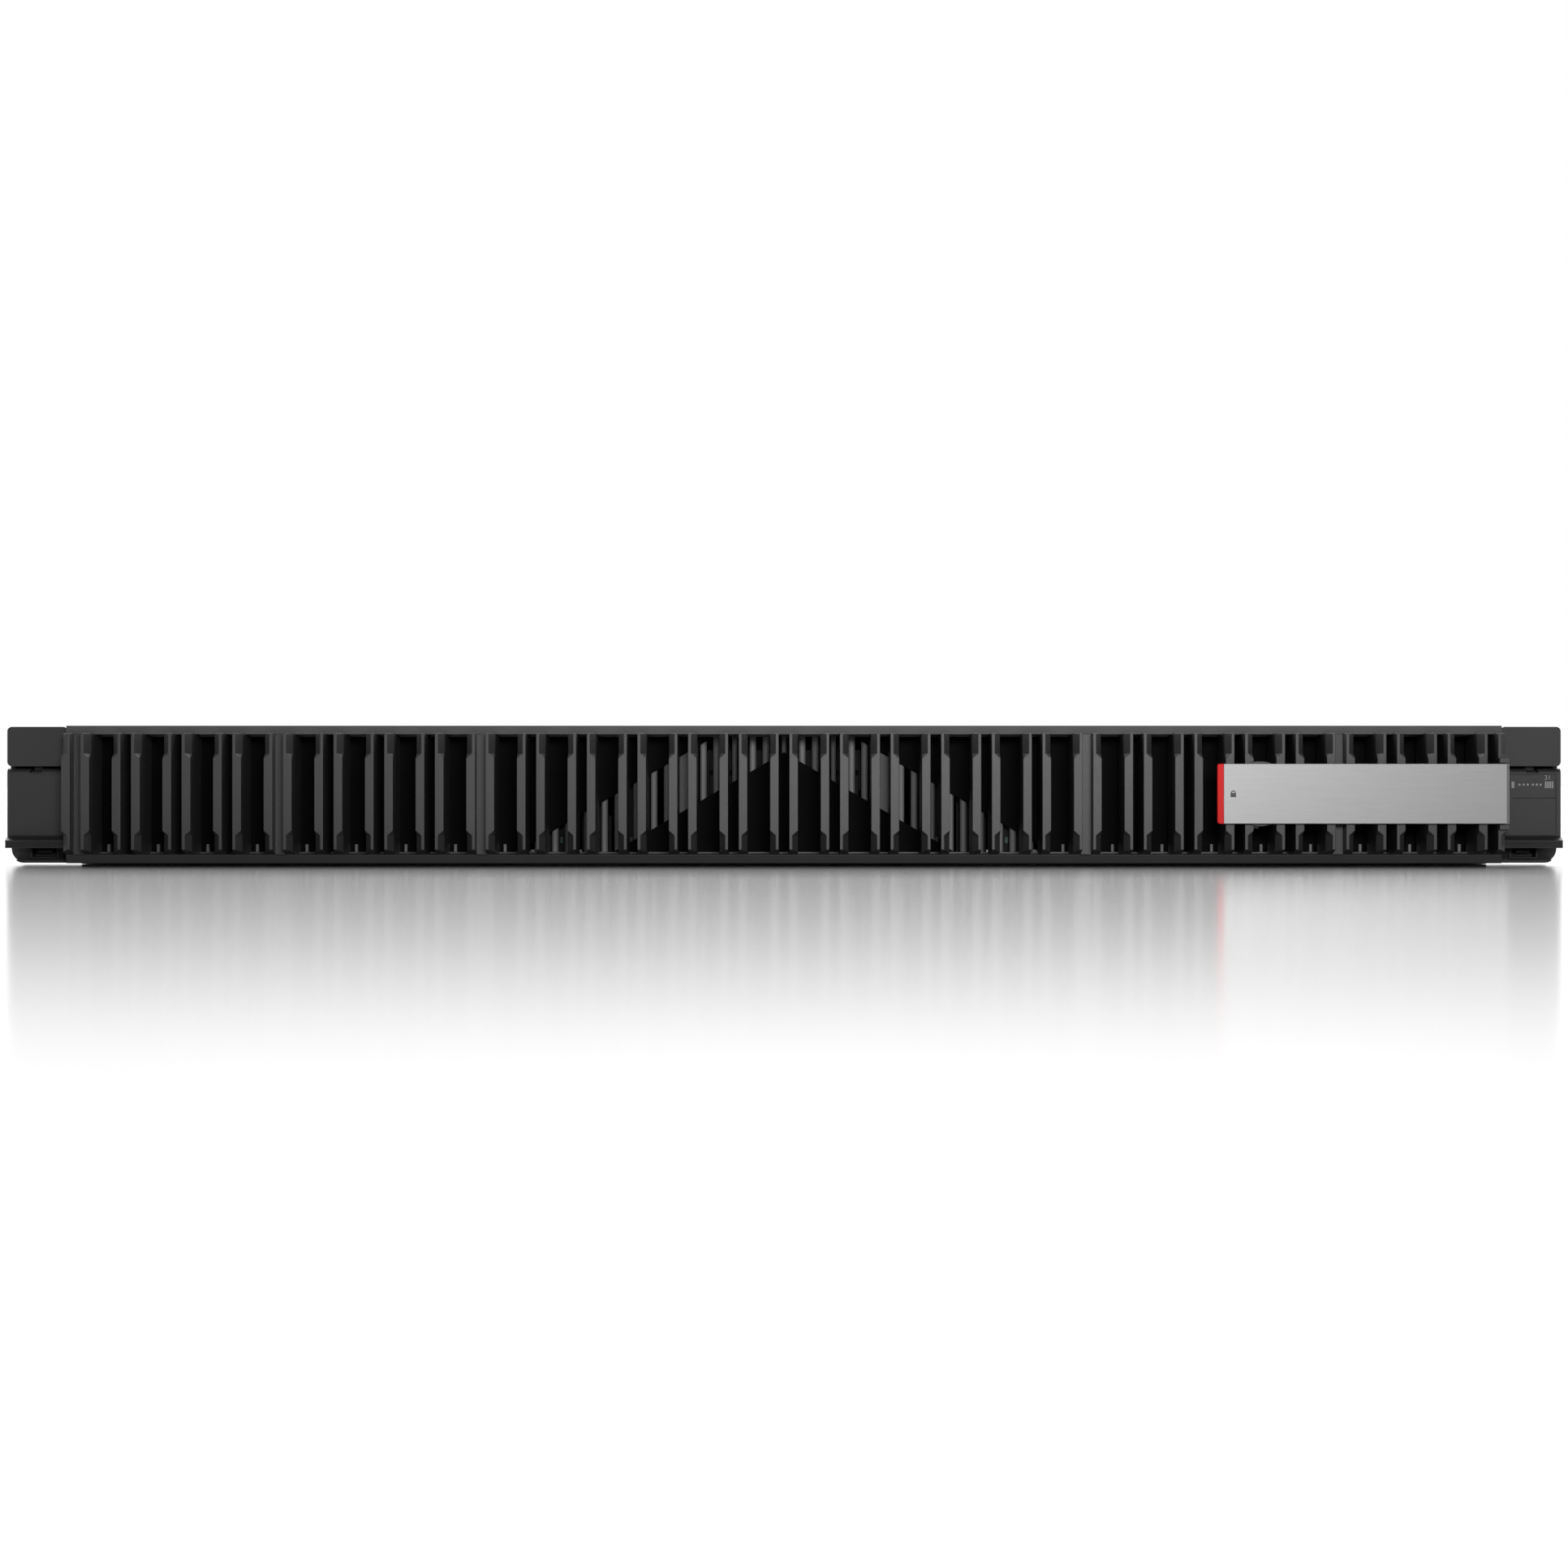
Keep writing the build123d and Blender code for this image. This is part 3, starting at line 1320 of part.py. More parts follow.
def rear_wall():
    wall = span_box(-wall_x, wall_x, tray_rear, rear_y, 0, wall_top)
    y0 = tray_rear - 1
    y1 = rear_y + 1
    # The wall stops at the power supplies, and only a post stands on their far side.
    holes = [span_box(supply_left - supply_bay_gap, supply_right + supply_bay_gap, y0, y1,
                      -1, wall_top + 1)]
    for side in (-1, 1):
        half = bracket_width / 2 - bracket_lap
        holes.append(span_box(bracket_x(side) - half, bracket_x(side) + half, y0, y1,
                              adapter_row_z + bracket_lap_z, adapter_row_z + bracket_height - bracket_lap_z))
    half = network_width / 2 - bracket_lap
    holes.append(span_box(network_x - half, network_x + half, y0, y1, network_z + board_thick - port_lift,
                          network_z + board_thick + network_jack_height + port_lift))
    for x, width, height in port_sizes():
        holes.append(span_box(x - width / 2 - port_lift, x + width / 2 + port_lift, y0, y1,
                              board_top - port_lift, board_top + height + port_lift))
    # Vent slots between the brackets and the power supplies.
    first = bracket_x(1) + bracket_width / 2 + vent_lead
    room = supply_left - supply_bay_gap - vent_width - first
    for step in range(int(room / vent_pitch)):
        x = first + step * vent_pitch
        holes.append(span_box(x, x + vent_width, y0, y1, adapter_row_z + bracket_lap_z, wall_top - vent_drop))
    return wall.cut(*holes)


# A shell round an open socket, with a tongue where a USB plug goes.
def open_port(x, width, height, tongue):
    y0 = rear_y - port_length
    top = board_top + height
    shell = span_box(x - width / 2, x + width / 2, y0, rear_y + port_out, board_top, top)
    shell -= span_box(x - width / 2 + port_edge, x + width / 2 - port_edge, y0 + port_floor, rear_y + 1,
                      board_top + port_edge, top - port_edge)
    if tongue:
        side = width / 2 - 2 * port_edge
        tongue_z = board_top + height / 2
        shell += span_box(x - side, x + side, y0 + port_floor / 2, rear_y - video_recess, tongue_z,
                          tongue_z + usb_tongue)
    return shell


# Video port: a block whose tapered face stands out of the wall.
def video_port(x):
    half = video_width / 2 - video_side - video_taper
    low = board_top + video_recess
    high = board_top + video_height - video_recess
    face = [(x - half - video_taper, high), (x + half + video_taper, high), (x + half, low), (x - half, low)]
    block = span_box(x - video_width / 2, x + video_width / 2, rear_y - port_length, rear_y - video_recess,
                     board_top, board_top + video_height)
    return block + prism_y(face, rear_y - 2 * video_recess, rear_y + video_reach)


def rear_ports():
    ports = []
    for x, width, height in port_sizes():
        if width == video_width:
            ports.append(video_port(x))
        else:
            ports.append(open_port(x, width, height, width == usb_width))
    return Compound(children=ports)


def riser_card():
    return span_box(riser_x - board_thick / 2, riser_x + board_thick / 2, adapter_front,
                    board_rear - riser_rear_gap, board_top, adapter_row_z + bracket_height - bracket_lap_z)


# A card lying flat beside the riser, with a chip can and two transceiver cages.
def adapter_card(side):
    back = tray_rear - bracket_sheet
    near = riser_x + side * board_thick / 2
    far = bracket_x(side) + side * (bracket_width / 2 - adapter_side)
    top = adapter_board_z + board_thick
    card = span_box(min(near, far), max(near, far), adapter_front, back, adapter_board_z, top)
    middle = card_middle(side)
    can_front = adapter_front + chip_can_lead
    card += span_box(middle - chip_can_width / 2, middle + chip_can_width / 2, can_front,
                     can_front + chip_can_length, top, top + chip_can_height)
    for x in (middle - cage_spread, middle + cage_spread):
        half = cage_width / 2
        inside = half - cage_wall
        cage = span_box(x - half, x + half, back - cage_length, tray_rear, top, top + cage_height)
        cage -= span_box(x - inside, x + inside, back - cage_length + cage_back_wall, tray_rear + 1,
                         top + cage_wall, top + cage_height - cage_wall)
        card += cage
    return card


def adapter_bracket(side):
    y0 = tray_rear - bracket_sheet
    x = bracket_x(side)
    top = adapter_board_z + board_thick
    plate = span_box(x - bracket_width / 2, x + bracket_width / 2, y0, tray_rear, adapter_row_z,
                     adapter_row_z + bracket_height)
    for cage_x in (card_middle(side) - cage_spread, card_middle(side) + cage_spread):
        plate -= span_box(cage_x - cage_width / 2, cage_x + cage_width / 2, y0 - 1, tray_rear + 1,
                          top, top + cage_height)
    return plate


# A card with three open jacks, and the plug that joins it to the board.
def network_card():
    half = network_width / 2
    y0 = tray_rear - network_length
    top = network_z + board_thick
    jack_top = top + network_jack_height
    plug_half = network_plug_width / 2
    card = span_box(network_x - half, network_x + half, y0, tray_rear, network_z, top)
    card += span_box(network_x - half, network_x + half, tray_rear - network_plate, tray_rear, board_top,
                     jack_top + port_lift)
    card += span_box(network_x - plug_half, network_x + plug_half, y0, y0 + network_plug_length,
                     board_top, network_z + board_thick / 2)
    places = [network_x + step * jack_pitch for step in (-1, 0, 1)]
    side = network_jack_width / 2
    for x in places:
        card += span_box(x - side, x + side, tray_rear - network_jack_length, tray_rear + network_jack_out,
                         top, jack_top)
    inside = side - network_jack_wall
    for x in places:
        card -= span_box(x - inside, x + inside, tray_rear - network_jack_depth, rear_y + 1,
                         top + cage_wall, jack_top - cage_wall)
    return card


# Headed studs on the side walls carry the rack rails.
def rail_studs():
    studs = []
    step = (rear_y - stud_last_gap - stud_first) / (stud_count - 1)
    neck_end = wall_x + stud_neck
    for index in range(stud_count):
        y = stud_first + index * step
        stud = rod_x(stud_radius, wall_x, neck_end, y, stud_z)
        stud += rod_x(stud_head_radius, neck_end, neck_end + stud_head, y, stud_z)
        studs.append(stud)
        studs.append(mirrored(stud))
    return Compound(children=studs)


# One file for each node.
os.makedirs("parts", exist_ok=True)
right_ear = ear_body()
right_cover = ear_cover()
right_screw = captive_screw()
right_port = port_shell()
cards = [adapter_card(side) for side in (-1, 1)]
brackets = [adapter_bracket(side) for side in (-1, 1)]
nodes = {
    "chassis_tray": chassis_tray(),
    "front_top_cover": front_top_cover(),
    "top_cover": top_cover(),
    "cover_lever": cover_lever(),
    "right_ear": right_ear,
    "left_ear": mirrored(right_ear),
    "right_ear_cover": right_cover,
    "left_ear_cover": mirrored(right_cover),
    "right_rack_screw": right_screw,
    "left_rack_screw": mirrored(right_screw),
    "ear_ports": Compound(children=[right_port, mirrored(right_port)]),
    "bezel_frame": bezel_frame(),
    "bezel_bars": bezel_bars(),
    "bezel_slats": bezel_slats(),
    "bezel_panel": bezel_panel(),
    "bezel_handle": bezel_handle(),
    "bezel_handle_tip": handle_tip(),
    "bezel_lock": lock_barrel(),
    "drive_cage": drive_cage(),
    "drive_modules": drive_modules(),
    "drive_latches": drive_latches(),
    "backplane": backplane(),
    "control_panel": control_panel(),
    "power_button": push_button(power_radius, power_z),
    "ident_button": push_button(ident_radius, ident_z),
    "fan_cage": fan_cage(),
    "fan_frames": Compound(children=[fan_frame(index) for index in range(fan_count)]),
    "main_board": main_board(),
    "cpu_sockets": cpu_sockets(),
    "heat_sinks": heat_sinks(),
    "memory_modules": memory_modules(),
    "memory_slots": memory_slots(),
    "air_duct": air_duct(),
    "chipset_sink": chipset_sink(),
    "power_sockets": power_sockets(),
    "supply_bay": supply_bay(),
    "rear_wall": rear_wall(),
    "rear_ports": rear_ports(),
    "riser_card": riser_card(),
    "adapter_cards": Compound(children=cards + brackets),
    "network_card": network_card(),
    "rail_studs": rail_studs(),
}
for index in range(fan_count):
    nodes["fan_rotor_" + str(index + 1)] = fan_rotor(index)
for index, name in ((0, "inner"), (1, "outer")):
    nodes[name + "_supply"] = supply_housing(index)
    nodes[name + "_supply_rotor"] = supply_rotor(index)
    nodes[name + "_supply_inlet"] = supply_inlet(index)
    nodes[name + "_supply_latch"] = supply_latch(index)
    nodes[name + "_supply_handle"] = supply_handle(index)
for node, shape in nodes.items():
    save(shape, node)
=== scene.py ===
import bpy
import json
import math
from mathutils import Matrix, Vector

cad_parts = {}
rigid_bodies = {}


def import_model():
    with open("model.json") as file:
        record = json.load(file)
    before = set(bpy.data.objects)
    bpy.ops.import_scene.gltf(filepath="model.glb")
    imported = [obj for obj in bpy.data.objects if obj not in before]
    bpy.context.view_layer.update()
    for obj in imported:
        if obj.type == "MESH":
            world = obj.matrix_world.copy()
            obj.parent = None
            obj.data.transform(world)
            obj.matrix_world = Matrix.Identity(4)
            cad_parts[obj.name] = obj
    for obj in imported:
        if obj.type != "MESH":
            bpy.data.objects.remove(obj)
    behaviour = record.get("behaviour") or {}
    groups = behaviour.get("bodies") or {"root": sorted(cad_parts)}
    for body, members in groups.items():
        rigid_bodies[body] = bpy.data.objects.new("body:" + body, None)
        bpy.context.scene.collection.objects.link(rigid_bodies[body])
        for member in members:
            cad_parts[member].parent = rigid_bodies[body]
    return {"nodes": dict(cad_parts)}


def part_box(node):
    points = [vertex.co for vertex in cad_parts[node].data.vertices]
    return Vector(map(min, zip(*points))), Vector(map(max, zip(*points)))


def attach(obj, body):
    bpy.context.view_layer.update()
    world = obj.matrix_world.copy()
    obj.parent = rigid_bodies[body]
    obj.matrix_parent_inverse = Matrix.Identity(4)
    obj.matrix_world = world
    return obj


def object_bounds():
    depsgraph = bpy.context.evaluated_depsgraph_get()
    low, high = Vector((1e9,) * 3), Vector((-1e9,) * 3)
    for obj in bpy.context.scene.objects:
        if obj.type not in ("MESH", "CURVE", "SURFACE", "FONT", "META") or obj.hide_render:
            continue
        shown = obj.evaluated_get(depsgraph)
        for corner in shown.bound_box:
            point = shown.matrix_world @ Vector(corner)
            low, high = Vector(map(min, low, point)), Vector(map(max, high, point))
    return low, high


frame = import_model()
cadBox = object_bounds()
print("frame loaded:", len(frame["nodes"]), "nodes")

# shader kit: one class for a socket, one for a material
class Wire:
    # an output socket that can be used in sums
    def __init__(self, shade, socket):
        self.shade = shade
        self.socket = socket

    def sum(self, operation, first, second):
        return self.shade.make("ShaderNodeMath", {"operation": operation}, {0: first, 1: second})

    def __add__(self, other):
        return self.sum("ADD", self, other)

    def __radd__(self, other):
        return self.sum("ADD", other, self)

    def __sub__(self, other):
        return self.sum("SUBTRACT", self, other)

    def __rsub__(self, other):
        return self.sum("SUBTRACT", other, self)

    def __mul__(self, other):
        return self.sum("MULTIPLY", self, other)

    def __lt__(self, other):
        return self.sum("LESS_THAN", self, other)

    def __gt__(self, other):
        return self.sum("GREATER_THAN", self, other)


class Shade:
    # a new material with its Principled shader, and the one way to add any node
    def __init__(self, name):
        self.material = bpy.data.materials.new(name)
        self.material.use_nodes = True
        self.tree = self.material.node_tree
        self.tree.nodes.clear()
        self.out = self.tree.nodes.new("ShaderNodeOutputMaterial")
        self.skin = self.tree.nodes.new("ShaderNodeBsdfPrincipled")
        self.tree.links.new(self.skin.outputs[0], self.out.inputs[0])

    def plug(self, socket, value):
        if isinstance(value, Wire):
            self.tree.links.new(value.socket, socket)
        else:
            socket.default_value = value

    def make(self, kind, settings=None, inputs=None, output=0):
        node = self.tree.nodes.new(kind)
        for key, value in (settings or {}).items():
            setattr(node, key, value)
        for key, value in (inputs or {}).items():
            self.plug(node.inputs[key], value)
        return Wire(self, node.outputs[output])

    def set(self, **values):
        names = {"colour": "Base Color", "rough": "Roughness", "metal": "Metallic", "normal": "Normal",
                 "coat": "Coat Weight", "coatRough": "Coat Roughness", "specular": "Specular IOR Level"}
        for key, value in values.items():
            self.plug(self.skin.inputs[names[key]], value)
        return self.material


def grey(level, tint=(1.0, 1.0, 1.0)):
    # a display level from 0 to 255 as a linear colour
    value = level / 255
    linear = value / 12.92 if value <= 0.04045 else ((value + 0.055) / 1.055) ** 2.4
    return (linear * tint[0], linear * tint[1], linear * tint[2], 1.0)


def mixColour(shade, factor, first, second):
    return shade.make("ShaderNodeMix", {"data_type": "RGBA"}, {0: factor, 6: first, 7: second}, 2)


def objectPlace(shade):
    return shade.make("ShaderNodeTexCoord", output="Object")


def axesOf(shade, place):
    # x, y and z of a place, each as a wire
    split = shade.make("ShaderNodeSeparateXYZ", inputs={0: place}).socket.node
    return [Wire(shade, socket) for socket in split.outputs]


def scaled(shade, place, x, y, z):
    return shade.make("ShaderNodeMapping", inputs={"Vector": place, "Scale": (x, y, z)})


def noise(shade, place, scale, detail=3.0, rough=0.55):
    return shade.make("ShaderNodeTexNoise", inputs={"Vector": place, "Scale": scale, "Detail": detail,
                                                    "Roughness": rough})


def softEdge(shade, radius):
    return shade.make("ShaderNodeBevel", {"samples": 6}, {"Radius": radius})


def bump(shade, height, strength, distance, normal=None):
    inputs = {"Strength": strength, "Distance": distance, "Height": height}
    if normal is not None:
        inputs["Normal"] = normal
    return shade.make("ShaderNodeBump", inputs=inputs)


# moulded plastic: fine spark-eroded grain, faint clouding, soft edges
def mouldedPlastic(name, low, high, rough, edge=0.00025, tint=(1, 1, 1.03), grain=0.25, specular=0.5):
    mould = {"cloudScale": 45.0, "grainScale": 2600.0, "speckScale": 700.0, "depth": 0.00002, "dulling": 0.1}
    shade = Shade(name)
    place = objectPlace(shade)
    cloud = noise(shade, place, mould["cloudScale"], 2.0)
    fine = noise(shade, place, mould["grainScale"], 2.0)
    speck = noise(shade, place, mould["speckScale"], 4.0)
    colour = mixColour(shade, cloud, grey(low, tint), grey(high, tint))
    roughness = rough - mould["dulling"] / 2 + speck * mould["dulling"]
    normal = bump(shade, fine, grain, mould["depth"], softEdge(shade, edge))
    return shade.set(colour=colour, rough=roughness, normal=normal, specular=specular)


# plated sheet: rolled grain along one axis, faint spangle, dulled patches
def platedSheet(name, level, rough, along=(1, 1, 1), edge=0.0004, tint=(1, 1, 1.02)):
    sheet = {"grainScale": 900.0, "spangleScale": 160.0, "patchScale": 9.0, "spread": 4, "strength": 0.25,
             "depth": 0.00003}
    shade = Shade(name)
    place = objectPlace(shade)
    grain = noise(shade, scaled(shade, place, *along), sheet["grainScale"], 4.0)
    spangle = shade.make("ShaderNodeTexVoronoi", inputs={"Vector": place, "Scale": sheet["spangleScale"]},
                         output="Color")
    patch = noise(shade, place, sheet["patchScale"], 3.0)
    flake = shade.make("ShaderNodeSeparateColor", inputs={0: spangle})
    colour = mixColour(shade, patch, grey(level - sheet["spread"], tint), grey(level + sheet["spread"], tint))
    roughness = rough + patch * 0.03 + flake * 0.06 + grain * 0.08 - 0.08
    normal = bump(shade, grain, sheet["strength"], sheet["depth"], softEdge(shade, edge))
    return shade.set(colour=colour, rough=roughness, metal=1.0, normal=normal)


# satin metal with fine lengthwise hairlines
def satinMetal(name, level, rough, along, edge=0.00025, tint=(1, 1, 1)):
    satin = {"hairScale": 1500.0, "wideScale": 12.0, "spread": 6, "strength": 0.08, "depth": 0.00002}
    shade = Shade(name)
    place = objectPlace(shade)
    hair = noise(shade, scaled(shade, place, *along), satin["hairScale"], 3.0)
    wide = noise(shade, place, satin["wideScale"], 2.0)
    colour = mixColour(shade, wide, grey(level - satin["spread"], tint), grey(level + satin["spread"], tint))
    normal = bump(shade, hair, satin["strength"], satin["depth"], softEdge(shade, edge))
    return shade.set(colour=colour, rough=rough + hair * 0.06, metal=1.0, normal=normal)


# printed circuit: solder mask over a faint weave, with runs of copper under it
def circuitBoard(name, tint=(0.25, 1.0, 0.6), level=70, steelFrom=9.0):
    # what lies behind steelFrom along Y is the steel bracket of a card
    board = {"runScale": 260.0, "weaveScale": 1800.0, "viaScale": 420.0, "runLift": 22, "viaSize": 0.12,
             "rough": 0.42, "viaShine": 0.15, "coat": 0.3}
    shade = Shade(name)
    place = objectPlace(shade)
    runs = shade.make("ShaderNodeTexBrick", {"offset": 0.5},
                      {"Vector": place, "Scale": board["runScale"], "Mortar Size": 0.012,
                       "Brick Width": 2.2, "Row Height": 0.35}, output="Fac")
    weave = noise(shade, place, board["weaveScale"], 2.0)
    spots = shade.make("ShaderNodeTexVoronoi", inputs={"Vector": place, "Scale": board["viaScale"]},
                       output="Distance")
    via = spots < board["viaSize"]
    base = mixColour(shade, runs, grey(level, tint), grey(level + board["runLift"], tint))
    colour = mixColour(shade, via, base, grey(150, (1.0, 0.85, 0.5)))
    steel = axesOf(shade, place)[1] > steelFrom
    finish = mixColour(shade, steel, colour, mixColour(shade, weave, grey(160), grey(176)))
    normal = bump(shade, runs * (1 - steel) + weave * 0.3, 0.3, 0.00003, softEdge(shade, 0.0002))
    roughness = board["rough"] - via * board["viaShine"] * (1 - steel)
    return shade.set(colour=finish, rough=roughness, metal=steel, normal=normal, coat=board["coat"])


print("shader kit ready")


def dress(names, material):
    # one material over whole CAD nodes
    for name in names:
        piece = frame["nodes"][name]
        piece.data.materials.clear()
        piece.data.materials.append(material)


# finishes of the front
bezelGrey = mouldedPlastic("bezelGrey", 62, 70, 0.4, 0.0003)
earGrey = mouldedPlastic("earGrey", 44, 50, 0.5, 0.0005)
coverGrey = mouldedPlastic("coverGrey", 44, 50, 0.48, 0.0004)
slatGrey = mouldedPlastic("slatGrey", 138, 150, 0.5, 0.0004)
panelBlack = mouldedPlastic("panelBlack", 4, 7, 0.7, 0.0002, specular=0.12)
softBlack = mouldedPlastic("softBlack", 22, 30, 0.5, 0.0003)
portSteel = satinMetal("portSteel", 190, 0.3, (1, 1, 1), 0.0002)


def bezelRails():
    # the same moulding as the bars; the upper rail is given a lighter colour, a painted highlight for the
    # light it catches from above
    rails = {"lower": 58, "upper": 98, "cloud": 72, "upperFrom": 0.03, "rough": 0.4}
    shade = Shade("bezelRails")
    place = objectPlace(shade)
    # painted highlight: above this height the rail takes the lighter level in place of the light falling on
    # it
    upper = axesOf(shade, place)[2] > rails["upperFrom"]
    cloud = noise(shade, place, 45.0, 2.0)
    fine = noise(shade, place, 2600.0, 2.0)
    level = mixColour(shade, upper, grey(rails["lower"]), grey(rails["upper"]))
    colour = mixColour(shade, cloud * 0.3, level, grey(rails["cloud"]))
    normal = bump(shade, fine, 0.25, 0.00002, softEdge(shade, 0.0003))
    return shade.set(colour=colour, rough=rails["rough"] + cloud * 0.08, normal=normal)


def handleSilver():
    # satin silver, brushed along the handle
    silver = {"low": 146, "high": 156, "metal": 0.85, "rough": 0.38, "hairScale": 2200.0, "stretch": 0.05}
    shade = Shade("handleSilver")
    place = objectPlace(shade)
    hair = noise(shade, scaled(shade, place, silver["stretch"], 1, 1), silver["hairScale"], 3.0)
    fine = noise(shade, place, 3000.0, 2.0)
    colour = mixColour(shade, hair, grey(silver["low"]), grey(silver["high"]))
    normal = bump(shade, hair * 0.6 + fine * 0.4, 0.12, 0.00002, softEdge(shade, 0.0003))
    return shade.set(colour=colour, rough=silver["rough"] + fine * 0.06, metal=silver["metal"],
                     normal=normal)


def tipRed():
    # painted finger end
    paint = {"low": (0.86, 0.008, 0.008, 1), "high": (1.0, 0.014, 0.014, 1), "rough": 0.5, "specular": 0.3}
    shade = Shade("tipRed")
    place = objectPlace(shade)
    fine = noise(shade, place, 1800.0, 2.0)
    colour = mixColour(shade, fine, paint["low"], paint["high"])
    normal = bump(shade, fine, 0.1, 0.00002, softEdge(shade, 0.0004))
    return shade.set(colour=colour, rough=paint["rough"] + fine * 0.05, normal=normal,
                     specular=paint["specular"])


dress(["bezel_bars"], bezelGrey)
dress(["bezel_frame"], bezelRails())
dress(["bezel_slats"], slatGrey)
dress(["bezel_panel"], panelBlack)
dress(["bezel_handle"], handleSilver())
dress(["bezel_handle_tip"], tipRed())
dress(["bezel_lock"], satinMetal("lockSteel", 150, 0.35, (1, 0.1, 1)))
dress(["left_ear", "right_ear"], earGrey)
dress(["left_ear_cover", "right_ear_cover"], coverGrey)
dress(["ear_ports"], softBlack)

# finishes of the chassis and what it holds
traySteel = platedSheet("traySteel", 168, 0.42, (1, 0.06, 1))
coverSteel = platedSheet("coverSteel", 176, 0.4, (0.06, 1, 1))
wallSteel = platedSheet("wallSteel", 166, 0.42, (0.1, 1, 1))
supplySteel = platedSheet("supplySteel", 172, 0.38, (1, 0.06, 1))
# painted shade: the drives and their latches are coloured near black so what shows through the bezel window
# reads as dark
drivesPaintedShade = mouldedPlastic("drivesPaintedShade", 10, 15, 0.55, 0.0002, specular=0.2)
sinkBare = satinMetal("sinkBare", 196, 0.32, (1, 0.05, 1), 0.0001)
boardGreen = circuitBoard("boardGreen")
riserGreen = circuitBoard("riserGreen", (0.2, 0.9, 0.5), 62)
touchBlue = mouldedPlastic("touchBlue", 90, 100, 0.42, 0.0004, (0.25, 0.55, 1.6))
fanBlack = mouldedPlastic("fanBlack", 26, 34, 0.5, 0.0004)
ductBlack = mouldedPlastic("ductBlack", 30, 38, 0.45, 0.0004)


def knurledSteel():
    # straight knurl round each rack screw's head, from the angle about its axis
    knurl = {"axisX": 0.23255, "axisZ": 0.0218, "teeth": 36.0, "headBack": -0.0075, "headFront": -0.0141}
    shade = Shade("knurledSteel")
    place = objectPlace(shade)
    across, along, up = axesOf(shade, place)
    fromAxis = shade.make("ShaderNodeMath", {"operation": "ABSOLUTE"}, {0: across}) - knurl["axisX"]
    angle = shade.make("ShaderNodeMath", {"operation": "ARCTAN2"}, {0: up - knurl["axisZ"], 1: fromAxis})
    teeth = shade.make("ShaderNodeMath", {"operation": "SINE"}, {0: angle * knurl["teeth"]})
    onHead = (along < knurl["headBack"]) * (along > knurl["headFront"])
    fine = noise(shade, place, 1200.0, 2.0)
    # painted shade and highlight: the colour darkens in the knurl's grooves and lightens on its ridges,
    # following the same teeth as the bump
    colour = mixColour(shade, teeth * 0.5 * onHead + 0.5, grey(120), grey(178))
    normal = bump(shade, teeth * onHead + fine * 0.1, 0.6, 0.0002, softEdge(shade, 0.0002))
    return shade.set(colour=colour, rough=0.32 + fine * 0.08, metal=1.0, normal=normal)


dress(["chassis_tray"], traySteel)
dress(["front_top_cover", "top_cover"], coverSteel)
dress(["rear_wall", "supply_bay", "fan_cage", "drive_cage"], wallSteel)
dress(["inner_supply", "outer_supply"], supplySteel)
dress(["drive_modules", "drive_latches"], drivesPaintedShade)
dress(["heat_sinks", "chipset_sink"], sinkBare)
dress(["main_board", "memory_modules", "backplane"], boardGreen)
dress(["riser_card"], riserGreen)
dress(["adapter_cards"], circuitBoard("adapterGreen", (0.2, 0.9, 0.5), 62, 0.7373))
dress(["cover_lever", "ident_button", "inner_supply_latch", "outer_supply_latch"], touchBlue)
dress(["fan_frames", "inner_supply_rotor", "outer_supply_rotor"], fanBlack)
dress(["fan_rotor_" + str(index) for index in range(1, 9)], fanBlack)
dress(["air_duct"], ductBlack)
dress(["cpu_sockets", "memory_slots", "power_sockets", "control_panel"], softBlack)
dress(["power_button", "inner_supply_inlet", "outer_supply_inlet"], softBlack)
dress(["inner_supply_handle", "outer_supply_handle"], softBlack)
dress(["rear_ports", "network_card"], portSteel)
dress(["right_rack_screw", "left_rack_screw", "rail_studs"], knurledSteel())
print("CAD nodes dressed")


# small pieces that the solids leave out; all sizes in metres
def clearSelection():
    if bpy.context.mode != "OBJECT":
        bpy.ops.object.mode_set(mode="OBJECT")
    bpy.ops.object.select_all(action="DESELECT")


def settle(piece, name, material, body, smooth=35):
    # place goes into the mesh, edges are smoothed by angle, and the piece rides on its body
    clearSelection()
    piece.select_set(True)
    bpy.context.view_layer.objects.active = piece
    bpy.ops.object.transform_apply(location=True, rotation=True, scale=True)
    bpy.ops.object.shade_smooth_by_angle(angle=math.radians(smooth))
    piece.name = name
    piece.data.materials.clear()
    piece.data.materials.append(material)
    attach(piece, body)


def bevelledBlock(centre, size, bevel, segments=2):
    clearSelection()
    bpy.ops.mesh.primitive_cube_add(size=1, location=centre)
    bpy.context.object.scale = size
    bpy.ops.object.transform_apply(location=True, rotation=True, scale=True)
    bpy.ops.object.mode_set(mode="EDIT")
    bpy.ops.mesh.select_all(action="SELECT")
    bpy.ops.mesh.bevel(offset=bevel, segments=segments, affect="EDGES")
    bpy.ops.object.mode_set(mode="OBJECT")
    return bpy.context.object


def joined(parts):
    clearSelection()
    for part in parts:
        part.select_set(True)
    bpy.context.view_layer.objects.active = parts[0]
    bpy.ops.object.join()
    return bpy.context.object


def copiesAt(piece, offsets):
    # the first piece stays where it is, each offset adds one copy with a mesh of its own
    made = [piece]
    for offset in offsets:
        twin = piece.copy()
        twin.data = piece.data.copy()
        bpy.context.scene.collection.objects.link(twin)
        twin.location = Vector(piece.location) + Vector(offset)
        made.append(twin)
    return made


def frontOf(node, x, z):
    # where a line along Y from the front meets a CAD node
    startY = -0.2
    hit, place = frame["nodes"][node].ray_cast(Vector((x, startY, z)), Vector((0, 1, 0)))[:2]
    assert hit, node
    return place.y


